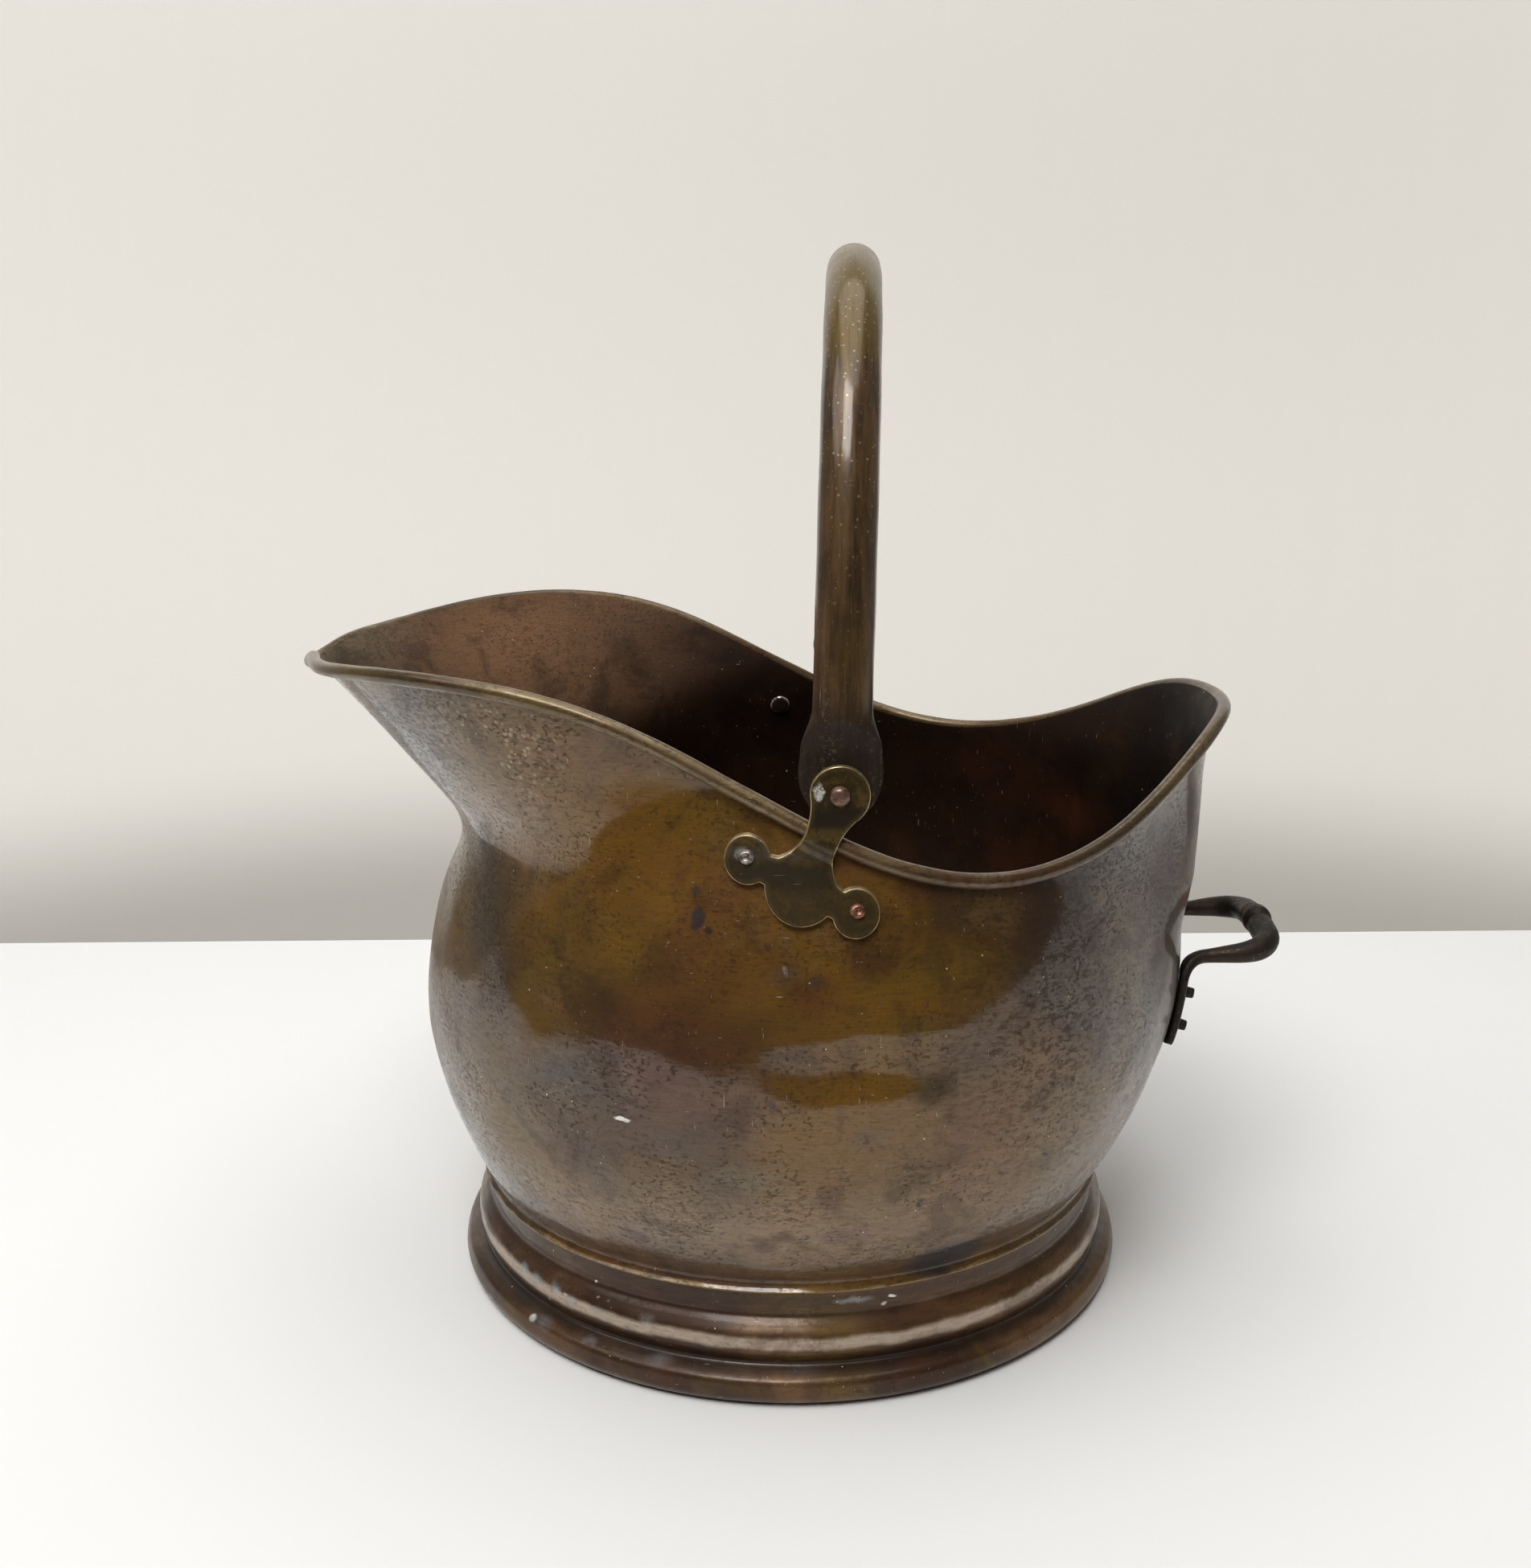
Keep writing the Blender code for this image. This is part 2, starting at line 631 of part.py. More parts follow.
def lug_outline():
    """Closed outline of the lug: a lobe, two round ears, a neck and a round head."""
    ear = LUG_EAR_SPACING / 2.0
    notch = math.asin(LUG_BRIDGE_HALF / LUG_EAR_RADIUS)
    lobe_end = -math.asin(LUG_BRIDGE_HALF / LUG_LOBE_RADIUS)
    half = []
    for angle in np.linspace(-math.pi / 2.0, lobe_end, 4):
        half.append((LUG_LOBE_RADIUS * math.cos(angle), LUG_LOBE_RADIUS * math.sin(angle)))
    for angle in np.linspace(notch - math.pi, math.pi - notch, 9):
        half.append((ear + LUG_EAR_RADIUS * math.cos(angle), LUG_EAR_RADIUS * math.sin(angle)))
    shoulder = LUG_LOBE_RADIUS * math.cos(lobe_end) - LUG_NECK_HALF
    for share in (0.0, 0.22, 0.55):
        up = LUG_BRIDGE_HALF + (LUG_NECK_HEIGHT - LUG_BRIDGE_HALF) * share
        half.append((LUG_NECK_HALF + shoulder * (1.0 - share) ** 2.5, up))
    join_up = LUG_HEAD_HEIGHT - LUG_HEAD_RADIUS * math.sin(LUG_HEAD_JOIN)
    join_across = LUG_HEAD_RADIUS * math.cos(LUG_HEAD_JOIN)
    for share in (0.0, 0.45, 0.8):
        up = LUG_NECK_HEIGHT + (join_up - LUG_NECK_HEIGHT) * share
        half.append((LUG_NECK_HALF + (join_across - LUG_NECK_HALF) * share**2, up))
    for angle in np.linspace(-LUG_HEAD_JOIN, math.pi / 2.0, 7):
        up = LUG_HEAD_HEIGHT + LUG_HEAD_RADIUS * math.sin(angle)
        half.append((LUG_HEAD_RADIUS * math.cos(angle), up))
    whole = half + [(-across, up) for across, up in half[-2:0:-1]]
    leaning = []
    for across, up in whole:
        lean_share = min(max(up / LUG_HEAD_HEIGHT, 0.0), 1.0)
        leaning.append((across + LUG_HEAD_OFFSET * lean_share, up))
    return leaning


def lug_rivet_seats(side):
    """Seats of a lug's two wall rivets: a point of the outer wall and its normal."""
    seats = []
    for across in (-LUG_EAR_SPACING / 2.0, LUG_EAR_SPACING / 2.0):
        x, height = lug_to_world(across, 0.0)
        wall_side = float(side_of_wall(np.array([x]), np.array([height]))[0])
        turn = side * math.atan2(wall_side, -x)
        seats.append((wall_point(turn, height), wall_normal(turn, height)))
    return seats


def build_lug(name, side, material):
    """Cast lug: a plate that follows the wall, steps over the bead and stands up."""
    margin = LUG_EAR_RADIUS / 2.0
    half_width = LUG_EAR_SPACING / 2.0 + LUG_EAR_RADIUS + margin
    lowest = -(LUG_LOBE_RADIUS + margin)
    highest = LUG_HEAD_HEIGHT + LUG_HEAD_RADIUS + margin
    rows = np.array([lowest + (highest - lowest) * share for share in LUG_ROW_SHARES])
    columns = []
    for across in np.linspace(-half_width, half_width, LUG_COLUMNS):
        x, height = lug_to_world(across, rows)
        columns.append(np.stack([x, lug_inner_sides(across, rows), height], axis=1))
    inner = np.array(columns)
    normals = np.cross(np.gradient(inner, axis=1), np.gradient(inner, axis=0))
    normals /= np.linalg.norm(normals, axis=2, keepdims=True)
    normals *= np.sign(normals[:, :, 1:2])
    outer = inner + LUG_THICKNESS * normals
    sections = np.concatenate([inner, outer[:, ::-1]], axis=1) * np.array([1.0, side, 1.0])
    lug = add_object(name, loft(name, sections, False), material)

    head = lug_head_side()
    planes = []
    for depth in (np.min(inner[..., 1]) - CUT_OVERRUN, np.max(outer[..., 1]) + CUT_OVERRUN):
        plane = []
        for across, up in lug_outline():
            x, height = lug_to_world(across, up)
            plane.append((x, side * depth, height))
        planes.append(plane)
    trim = add_object(name + "_outline", loft(name + "_outline", planes, False))
    hide_cutter(trim)
    add_boolean(lug, trim, "INTERSECT")
    wall_holes = drill(name + "_wall_holes", lug_rivet_seats(side), LUG_SHANK_RADIUS, CUT_OVERRUN * 2.0)
    add_boolean(lug, wall_holes, "DIFFERENCE")
    pivot = ((PIVOT_X, side * head, PIVOT_HEIGHT), (0.0, side, 0.0))
    pivot_hole = drill(name + "_pivot_hole", [pivot], PIVOT_SHANK_RADIUS, CUT_OVERRUN * 2.0)
    add_boolean(lug, pivot_hole, "DIFFERENCE")
    return lug


def rivet_mesh(name, shank_radius, grip, outer_head, inner_head):
    """Rivet along Z: its inner head below zero, the grip above, then the outer head.

    Each head is a radius, a height and whether it is domed or a plain stub.
    """
    radius, height, domed = outer_head
    top = grip + height
    profile = [(0.0, top)]
    if domed:
        profile += [(radius * 0.55, grip + height * 0.86), (radius * 0.90, grip + height * 0.50)]
    else:
        profile += [(radius * 0.80, top), (radius, grip + height * 0.85)]
    profile += [(radius, grip), (shank_radius, grip), (shank_radius, 0.0)]
    radius, height, domed = inner_head
    profile += [(radius, 0.0), (radius * 0.85, -height * 0.60), (0.0, -height)]
    return turned(name, profile, RIVET_SIDES, False)


def build_pivot_rivet(name, side, material):
    """Rivet that the bail's eye turns on, through the head of the lug."""
    grip = LUG_THICKNESS + EYE_THICKNESS + 3.0 * FIT_GAP
    outer = (PIVOT_HEAD_RADIUS, PIVOT_HEAD_HEIGHT, True)
    inner = (PIVOT_HEAD_RADIUS, INNER_HEAD_HEIGHT, True)
    rivet = add_object(name, rivet_mesh(name, PIVOT_SHANK_RADIUS, grip, outer, inner), material)
    start = side * (lug_head_side() - EYE_THICKNESS - 2.0 * FIT_GAP)
    place_along(rivet, (PIVOT_X, start, PIVOT_HEIGHT), (0.0, side, 0.0))
    return rivet


def build_wall_rivet(name, seat, plate, shank_radius, outer, material):
    """Rivet through the bowl's wall and a plate that lies on it."""
    point, normal = seat
    grip = SHEET + FACET_GAP + plate + 3.0 * FIT_GAP
    inner = (INNER_HEAD_RADIUS, INNER_HEAD_HEIGHT, True)
    rivet = add_object(name, rivet_mesh(name, shank_radius, grip, outer, inner), material)
    place_along(rivet, point - normal * (SHEET + FACET_GAP + FIT_GAP), normal)
    return rivet


def super_section(centre, across, through, width, thickness, power, sides):
    """Closed section between an ellipse, power 2, and a rounded box, higher powers."""
    angles = 2.0 * math.pi * np.arange(sides) / sides
    cosines = np.cos(angles)
    sines = np.sin(angles)
    exponent = 2.0 / power
    reach_across = width / 2.0 * np.sign(cosines) * np.abs(cosines) ** exponent
    reach_through = thickness / 2.0 * np.sign(sines) * np.abs(sines) ** exponent
    return centre + np.outer(reach_across, across) + np.outer(reach_through, through)


def bail_half_sections():
    """Sections of the bail's near half, from the tip of its eye to the crown.

    The eye is a flat paddle, round at its tip, that widens from the tube.  Above it
    the tube follows a squarish arch whose sides close in a little.
    """
    half_span = lug_head_side() - FIT_GAP - EYE_THICKNESS / 2.0
    eye_rows = []
    round_part = EYE_DROP + EYE_WIDEST_HEIGHT
    for share in (0.0, 0.05, 0.16, 0.34, 0.60, 1.0):
        width = EYE_WIDTH * math.sqrt(1.0 - (1.0 - share) ** 2)
        eye_rows.append((-EYE_DROP + round_part * share, max(width, EYE_THICKNESS), EYE_THICKNESS, 5.0))
    eye_rows.append((EYE_CREASE_HEIGHT, EYE_WIDTH * 0.96, EYE_THICKNESS * 1.15, 4.0))
    rest = NECK_HEIGHT - EYE_CREASE_HEIGHT
    for share in (0.16, 0.38, 0.66, 1.0):
        ease = float(smooth_step(share))
        width = EYE_WIDTH * 0.96 + (BAIL_TUBE - EYE_WIDTH * 0.96) * ease
        thickness = EYE_THICKNESS * 1.15 + (BAIL_TUBE - EYE_THICKNESS * 1.15) * math.sqrt(ease)
        eye_rows.append((EYE_CREASE_HEIGHT + rest * share, width, thickness, 4.0 - 2.0 * ease))

    angles = np.linspace(0.0, math.pi / 2.0, 400)
    rise = np.sin(angles) ** (2.0 / BAIL_CORNER_POWER)
    narrowing = 1.0 - BAIL_NARROWING_SHARE * rise
    spread = np.cos(angles) ** (2.0 / BAIL_CORNER_POWER) * narrowing
    path = np.stack([np.zeros(len(angles)), -half_span * spread, BAIL_RISE * rise], axis=1)
    travelled = np.concatenate([[0.0], np.cumsum(np.linalg.norm(np.diff(path, axis=0), axis=1))])
    tangents = np.gradient(path, axis=0)

    across = np.array([1.0, 0.0, 0.0])
    sections = []
    for height, width, thickness, power in eye_rows:
        row = path[0] + np.array([0.0, 0.0, height])
        if height > 0.0:
            row = np.array([np.interp(height, travelled, path[:, axis]) for axis in range(3)])
        through = np.array([0.0, 1.0, 0.0])
        sections.append(super_section(row, across, through, width, thickness, power, TUBE_SIDES))
    arch_steps = 12
    for distance in np.linspace(NECK_HEIGHT, travelled[-1], arch_steps + 1)[1:]:
        row = np.array([np.interp(distance, travelled, path[:, axis]) for axis in range(3)])
        tangent = np.array([np.interp(distance, travelled, tangents[:, axis]) for axis in range(3)])
        through = np.cross(tangent, across)
        through /= np.linalg.norm(through)
        sections.append(super_section(row, across, through, BAIL_TUBE, BAIL_TUBE, 2.0, TUBE_SIDES))
    return np.array(sections)


def mirrored_loft(name, half):
    """Loft a half whose last section lies in the plane of symmetry, and its mirror image."""
    other = half[-2::-1] * np.array([1.0, -1.0, 1.0])
    return loft(name, np.concatenate([half, other]), False)


def build_bail(material):
    """Bail, with its origin on the pivot axis and its rest a little back of upright."""
    half = bail_half_sections()
    half[-1, :, 1] = 0.0
    bail = add_object("bail_handle", mirrored_loft("bail_handle", half), material)
    bail.location = (PIVOT_X, 0.0, PIVOT_HEIGHT)
    bail.rotation_euler = (0.0, BAIL_LEAN, 0.0)
    seat = lug_head_side()
    eyes = []
    for side in (-1.0, 1.0):
        eyes.append(((PIVOT_X, side * seat, PIVOT_HEIGHT), (0.0, side, 0.0)))
    add_boolean(bail, drill("bail_eye_holes", eyes, PIVOT_SHANK_RADIUS, CUT_OVERRUN * 3.0), "DIFFERENCE")
    return bail


def rounded_path(corners, radii, steps):
    """Points along straight runs whose inner corners are rounded by smooth bends."""
    corners = [np.array(corner) for corner in corners]
    points = [corners[0]]
    for before, corner, after, radius in zip(corners[:-2], corners[1:-1], corners[2:], radii):
        start = corner + (before - corner) / np.linalg.norm(before - corner) * radius
        end = corner + (after - corner) / np.linalg.norm(after - corner) * radius
        for share in np.linspace(0.0, 1.0, steps):
            first = start + (corner - start) * share
            second = corner + (end - corner) * share
            points.append(first + (second - first) * share)
    points.append(corners[-1])
    return np.array(points)


def rear_rivet_heights():
    """Heights of the loop handle's upper and lower rivets."""
    return [TAB_BOTTOM_HEIGHT + TAB_LENGTH * share for share in REAR_RIVET_SHARES]


def tab_turn():
    """Turn of the far tab's middle line, where the wall is at the tab's spacing."""
    reach = float(wall_reach(math.pi, rear_rivet_heights()[0]))
    return math.pi - math.asin(TAB_HALF_SPACING / reach)


def tab_point(height):
    """Centre of the near tab's thickness at a height."""
    turn = -tab_turn()
    return wall_point(turn, height) + wall_normal(turn, height) * (FIT_GAP + TAB_THICKNESS / 2.0)


def rear_rivet_seats():
    """Seats of the loop handle's rivets, near tab first and upper rivets first."""
    seats = []
    for side in (-1.0, 1.0):
        for height in rear_rivet_heights():
            turn = side * tab_turn()
            seats.append((wall_point(turn, height), wall_normal(turn, height)))
    return seats


def handle_half_sections():
    """Sections of the loop handle's near half, from its tab's tip to the knop."""
    tab_top = tab_point(LEG_HEIGHT)
    tab_heights = np.linspace(TAB_BOTTOM_HEIGHT, LEG_HEIGHT - TAB_BEND_RADIUS, 4)
    low_points = [tab_point(height) for height in tab_heights]
    grip_reach = float(wall_reach(math.pi, LEG_HEIGHT)) + GRIP_STANDOFF
    corners = (
        low_points[-1],
        tab_top,
        (grip_reach, -TAB_HALF_SPACING, (LEG_HEIGHT + GRIP_HEIGHT) / 2.0),
        (grip_reach, 0.0, GRIP_HEIGHT),
    )
    bends = rounded_path(corners, (TAB_BEND_RADIUS * 0.96, GRIP_CORNER_RADIUS), 24)
    path = np.concatenate([np.array(low_points[:-1]), bends])
    travelled = np.concatenate([[0.0], np.cumsum(np.linalg.norm(np.diff(path, axis=0), axis=1))])
    length = travelled[-1]
    tab_length = LEG_HEIGHT - TAB_BOTTOM_HEIGHT - TAB_BEND_RADIUS
    leg_start = tab_length + 2.0 * TAB_BEND_RADIUS
    corner_start = length - 2.0 * GRIP_CORNER_RADIUS
    round_end = TAB_WIDTH / 2.0
    distances = [round_end * share for share in (0.02, 0.10, 0.28, 0.58, 1.0)]
    distances += [tab_length * 0.75, tab_length]
    distances += list(np.linspace(tab_length, leg_start, 6)[1:])
    distances += list(np.linspace(leg_start, corner_start, 4)[1:])
    distances += list(np.linspace(corner_start, length - GROOVE_SHOULDER, 8)[1:])
    knop_from_middle = (GROOVE_OFFSET, KNOP_HALF_LENGTH, KNOP_HALF_LENGTH * 0.45, 0.0)
    distances += [length - offset for offset in knop_from_middle]

    stops = [tab_length, leg_start, corner_start, length - GRIP_CORNER_RADIUS, length - GROOVE_SHOULDER]
    stops += [length - offset for offset in knop_from_middle]
    knop_edge = (GROOVE_DIAMETER + KNOP_DIAMETER) / 2.0
    sizes = [TAB_THICKNESS, LEG_DIAMETER, CORNER_DIAMETER, GRIP_DIAMETER, GRIP_DIAMETER]
    sizes += [GROOVE_DIAMETER, knop_edge, KNOP_DIAMETER, KNOP_DIAMETER]
    tangents = np.gradient(path, axis=0)

    tangent = tangents[0] / np.linalg.norm(tangents[0])
    normal = wall_normal(-tab_turn(), TAB_BOTTOM_HEIGHT)
    across = np.cross(tangent, normal)
    sections = []
    for distance in distances:
        centre = np.array([np.interp(distance, travelled, path[:, axis]) for axis in range(3)])
        tangent = np.array([np.interp(distance, travelled, tangents[:, axis]) for axis in range(3)])
        tangent /= np.linalg.norm(tangent)
        across = across - tangent * np.dot(across, tangent)
        across /= np.linalg.norm(across)
        through = np.cross(tangent, across)
        thickness = float(np.interp(distance, stops, sizes))
        flat = 1.0 - float(smooth_step((distance - tab_length) / (leg_start - tab_length)))
        width = thickness + (TAB_WIDTH - thickness) * flat
        if distance < round_end:
            width = max(TAB_WIDTH * math.sqrt(1.0 - (1.0 - distance / round_end) ** 2), TAB_THICKNESS)
        power = 2.0 + 3.0 * flat
        sections.append(super_section(centre, across, through, width, thickness, power, HANDLE_SIDES))
    half = np.array(sections)
    half[-1, :, 1] = 0.0
    return half


def build_rear_handle(material):
    """Forged loop handle with flat tabs on the wall and a ringed knop in its grip."""
    handle = add_object("rear_handle", mirrored_loft("rear_handle", handle_half_sections()), material)
    holes = drill("rear_handle_holes", rear_rivet_seats(), REAR_SHANK_RADIUS, CUT_OVERRUN * 2.0)
    add_boolean(handle, holes, "DIFFERENCE")
    return handle


def main():
    """Build the whole scuttle."""
    for item in list(bpy.data.objects):
        bpy.data.objects.remove(item, do_unlink=True)

    bowl_brass = metal("bowl_brass", (0.20, 0.145, 0.085), 0.38)
    foot_brass = metal("foot_brass", (0.16, 0.115, 0.085), 0.42)
    wire_iron = metal("wire_iron", (0.16, 0.14, 0.12), 0.6)
    lug_brass = metal("lug_brass", (0.24, 0.18, 0.09), 0.4)
    bail_brass = metal("bail_brass", (0.13, 0.085, 0.055), 0.32)
    rivet_copper = metal("rivet_copper", (0.42, 0.26, 0.20), 0.42)
    handle_iron = metal("handle_iron", (0.12, 0.10, 0.085), 0.5)

    bowl, wire = build_bowl(bowl_brass)
    wire.data.materials.append(wire_iron)
    lug_seats = lug_rivet_seats(-1.0) + lug_rivet_seats(1.0)
    rear_seats = rear_rivet_seats()
    lug_holes = drill("bowl_lug_holes", lug_seats, LUG_SHANK_RADIUS, CUT_OVERRUN)
    rear_holes = drill("bowl_rear_holes", rear_seats, REAR_SHANK_RADIUS, CUT_OVERRUN)
    add_boolean(bowl, lug_holes, "DIFFERENCE")
    add_boolean(bowl, rear_holes, "DIFFERENCE")
    build_foot(foot_brass)
    build_bottom_plate(bowl_brass)

    for label, side in (("near", -1.0), ("far", 1.0)):
        build_lug("lug_" + label, side, lug_brass)
        build_pivot_rivet("pivot_rivet_" + label, side, rivet_copper)
    lug_head = (LUG_RIVET_HEAD_RADIUS, LUG_RIVET_HEAD_HEIGHT, True)
    lug_names = ("near_front", "near_back", "far_front", "far_back")
    for label, seat in zip(lug_names, lug_seats):
        build_wall_rivet("lug_rivet_" + label, seat, LUG_THICKNESS, LUG_SHANK_RADIUS, lug_head, rivet_copper)
    build_bail(bail_brass)

    build_rear_handle(handle_iron)
    stub = (REAR_STUB_RADIUS, REAR_STUB_HEIGHT, False)
    rear_names = ("near_upper", "near_lower", "far_upper", "far_lower")
    for label, seat in zip(rear_names, rear_seats):
        build_wall_rivet("rear_rivet_" + label, seat, TAB_THICKNESS, REAR_SHANK_RADIUS, stub, handle_iron)


main()
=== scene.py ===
"""Looks of the helmet coal scuttle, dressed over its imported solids.

The bowl, its rolled rim, the spun foot, the two lugs, the rivets, the tubular bail and
the forged loop handle are surfaces worked out as whole numpy arrays in the frame of the
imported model: metres, Z up, the spout towards -X, turns counted in radians from it.
Each finish is a small class that builds one procedural material.
"""

import logging
import math
from dataclasses import dataclass, replace
from enum import Enum
from functools import reduce
from typing import Callable

import bmesh
import bpy
import numpy as np
from mathutils import Matrix, Vector
from mathutils.geometry import delaunay_2d_cdt


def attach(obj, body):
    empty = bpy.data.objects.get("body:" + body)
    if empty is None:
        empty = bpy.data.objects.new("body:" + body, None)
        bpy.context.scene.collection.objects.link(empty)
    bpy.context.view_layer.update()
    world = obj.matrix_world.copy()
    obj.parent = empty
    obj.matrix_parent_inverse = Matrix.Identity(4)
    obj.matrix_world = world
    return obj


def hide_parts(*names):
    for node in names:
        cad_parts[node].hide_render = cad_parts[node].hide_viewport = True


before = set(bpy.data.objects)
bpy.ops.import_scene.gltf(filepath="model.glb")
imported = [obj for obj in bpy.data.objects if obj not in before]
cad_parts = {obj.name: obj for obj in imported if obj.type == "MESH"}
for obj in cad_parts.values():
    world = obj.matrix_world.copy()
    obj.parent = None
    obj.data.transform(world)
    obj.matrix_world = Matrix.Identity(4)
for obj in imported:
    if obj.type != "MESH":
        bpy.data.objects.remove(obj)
log = logging.getLogger("scuttle")

Array = np.ndarray
Colour = tuple[float, float, float]
Point = tuple[float, float, float]
Region = tuple[Point, Point]
Seat = tuple[Array, Array]
Socket = bpy.types.NodeSocket
Value = Socket | float | tuple[float, ...]


class Side(Enum):
    """The two mirrored sides of the bowl, by the sign of Y."""

    NEAR = -1.0
    FAR = 1.0

    @property
    def outwards(self) -> Array:
        """Unit vector away from the plane of symmetry."""
        return np.array([0.0, self.value, 0.0])


class Skin(Enum):
    """Material slots of the bowl's sheet."""

    OUTSIDE = 0
    INSIDE = 1
    RIM = 2


def smooth_step(share: Array) -> Array:
    """Rise from 0 to 1 with level ends: 3 s^2 - 2 s^3, with s kept within 0 and 1."""
    share = np.clip(share, 0.0, 1.0)
    return share * share * (3.0 - 2.0 * share)


def closed_spline(knots: Array, values: Array, period: float) -> Callable[[Array], Array]:
    """Curve with unbroken curvature through values that repeat over a period.

    Between two knots the curve is the straight line plus a cubic that takes the bend at
    each knot; the bends solve one linear system that makes the slopes meet.

    Args:
        knots: rising places, the first of them zero.
        values: the value at each knot.
        period: length after which the values repeat.

    Returns:
        A function of an array of places.
    """
    count = len(knots)
    here = np.arange(count)
    before = (here - 1) % count
    after = (here + 1) % count
    gaps = np.diff(np.append(knots, knots[0] + period))
    slopes = (values[after] - values) / gaps
    system = np.zeros((count, count))
    system[here, before] += gaps[before] / 6.0
    system[here, here] += (gaps[before] + gaps) / 3.0
    system[here, after] += gaps / 6.0
    bends = np.linalg.solve(system, slopes - slopes[before])

    def curve(place: Array) -> Array:
        """Value at each place."""
        place = np.mod(np.asarray(place, dtype=float), period)
        row = np.searchsorted(knots, place, side="right") - 1
        share = (place - knots[row]) / gaps[row]
        rest = 1.0 - share
        bow = (rest**3 - rest) * bends[row] + (share**3 - share) * bends[after[row]]
        return rest * values[row] + share * values[after[row]] + bow * gaps[row] ** 2 / 6.0

    return curve


def smooth_path(points: Array, count: int) -> Array:
    """Evenly walked path through points, bending smoothly at each (Catmull-Rom).

    Args:
        points: the points to pass through, one per row.
        count: how many points to return.

    Returns:
        The points of the path, with the first and last where they were.
    """
    points = np.asarray(points, dtype=float)
    fine = np.linspace(0.0, len(points) - 1.0, 40 * len(points))
    row = np.minimum(fine.astype(int), len(points) - 2)
    share = (fine - row)[:, None]
    padded = np.concatenate([2.0 * points[:1] - points[1:2], points, 2.0 * points[-1:] - points[-2:-1]])
    before, start, end, after = (padded[row + shift] for shift in range(4))
    path = 0.5 * (
        2.0 * start
        + (end - before) * share
        + (2.0 * before - 5.0 * start + 4.0 * end - after) * share**2
        + (3.0 * start - before - 3.0 * end + after) * share**3
    )
    return walk_evenly(path, count)


def travelled(path: Array) -> Array:
    """Distance along a path of straight steps at each of its points."""
    steps = np.linalg.norm(np.diff(path, axis=0), axis=1)
    return np.concatenate([[0.0], np.cumsum(steps)])


def sampled(values: Array, place: Array, wanted: Array) -> Array:
    """Rows of values known at places, read off at the places wanted."""
    return np.stack([np.interp(wanted, place, axis) for axis in values.T], axis=1)


def walk_evenly(path: Array, count: int) -> Array:
    """Points at equal distances along a path of straight steps."""
    place = travelled(path)
    return sampled(path, place, np.linspace(0.0, place[-1], count))


def circle(count: int) -> Array:
    """Evenly spaced turns once round, in radians."""
    return np.arange(count) * 2.0 * math.pi / count


def arc(radius: float, start: float, end: float, count: int, across: float = 0.0, up: float = 0.0) -> Array:
    """Points of a flat circle about a middle, from one angle to another."""
    angle = np.linspace(start, end, count)
    return np.stack([across + radius * np.cos(angle), up + radius * np.sin(angle)], axis=1)


def round_grid(turns: Array, radius: Array, height: Array) -> Array:
    """Points about the Z axis: a row for each turn, a column for each radius and height."""
    x, y = np.cos(turns)[:, None] * radius, np.sin(turns)[:, None] * radius
    return np.stack([x, y, np.broadcast_to(height, x.shape)], axis=-1)


def half_turned(turn: Array) -> Array:
    """The same turn between minus half a turn and half a turn."""
    return np.mod(turn + math.pi, 2.0 * math.pi) - math.pi


def unit(vectors: Array) -> Array:
    """Vectors along the last axis, each divided by its length."""
    return vectors / np.maximum(np.linalg.norm(vectors, axis=-1, keepdims=True), 1e-12)


def waves(first: Array, second: Array, seed: int, counts: tuple[int, int], pitch: float) -> Array:
    """Soft unevenness of worked metal: a sum of twelve crossed sines, about -1 to 1.

    Each sine has a whole number of waves round the turn and a wavelength along the
    second direction near the pitch, so the pattern closes on itself.

    Args:
        first: turn in radians.
        second: distance in metres.
        seed: picks the phases.
        counts: fewest and most waves round a turn.
        pitch: mean wavelength along the second direction in metres.

    Returns:
        The sum, in the shape of the inputs.
    """
    dice = np.random.default_rng(seed)
    rounds = dice.integers(counts[0], counts[1] + 1, 12)
    rises = 2.0 * math.pi / (pitch * dice.uniform(0.7, 1.5, 12)) * dice.choice([-1.0, 1.0], 12)
    phases = dice.uniform(0.0, 2.0 * math.pi, 12)
    total = np.zeros(np.broadcast(first, second).shape)
    for count, rise, phase in zip(rounds, rises, phases):
        total = total + np.sin(count * first + rise * second + phase)
    return total / 5.0


def mesh_from_arrays(name: str, points: Array, faces: Array) -> bpy.types.Mesh:
    """Mesh from an array of points and one of equal faces, turned to point outwards.

    The volume under the faces, the sum of (corner . cross product of two sides) / 6,
    is negative when they point inwards, and then each face is reversed.

    Args:
        name: name of the mesh.
        points: a row of x, y and z for each point.
        faces: a row of corner numbers for each face, three in all or four in all.

    Returns:
        The mesh, shaded smooth.
    """
    a, b, c = (points[faces[:, corner]] for corner in (0, 1, 2))
    volume = np.sum(a * np.cross(b, c))
    if faces.shape[1] == 4:
        d = points[faces[:, 3]]
        volume += np.sum(a * np.cross(c, d))
    if volume < 0.0:
        faces = faces[:, ::-1]
    sides = faces.shape[1]
    mesh = bpy.data.meshes.new(name)
    mesh.vertices.add(len(points))
    mesh.vertices.foreach_set("co", points.astype(np.float32).ravel())
    mesh.loops.add(faces.size)
    mesh.loops.foreach_set("vertex_index", faces.astype(np.int32).ravel())
    mesh.polygons.add(len(faces))
    mesh.polygons.foreach_set("loop_start", np.arange(0, faces.size, sides, dtype=np.int32))
    mesh.update(calc_edges=True)
    mesh.validate()
    mesh.shade_smooth()
    return mesh


def paint_points(mesh: bpy.types.Mesh, name: str, values: Array) -> None:
    """Keep a number at every point of a mesh for its material to read."""
    layer = mesh.attributes.new(name, "FLOAT", "POINT")
    layer.data.foreach_set("value", values.astype(np.float32).ravel())


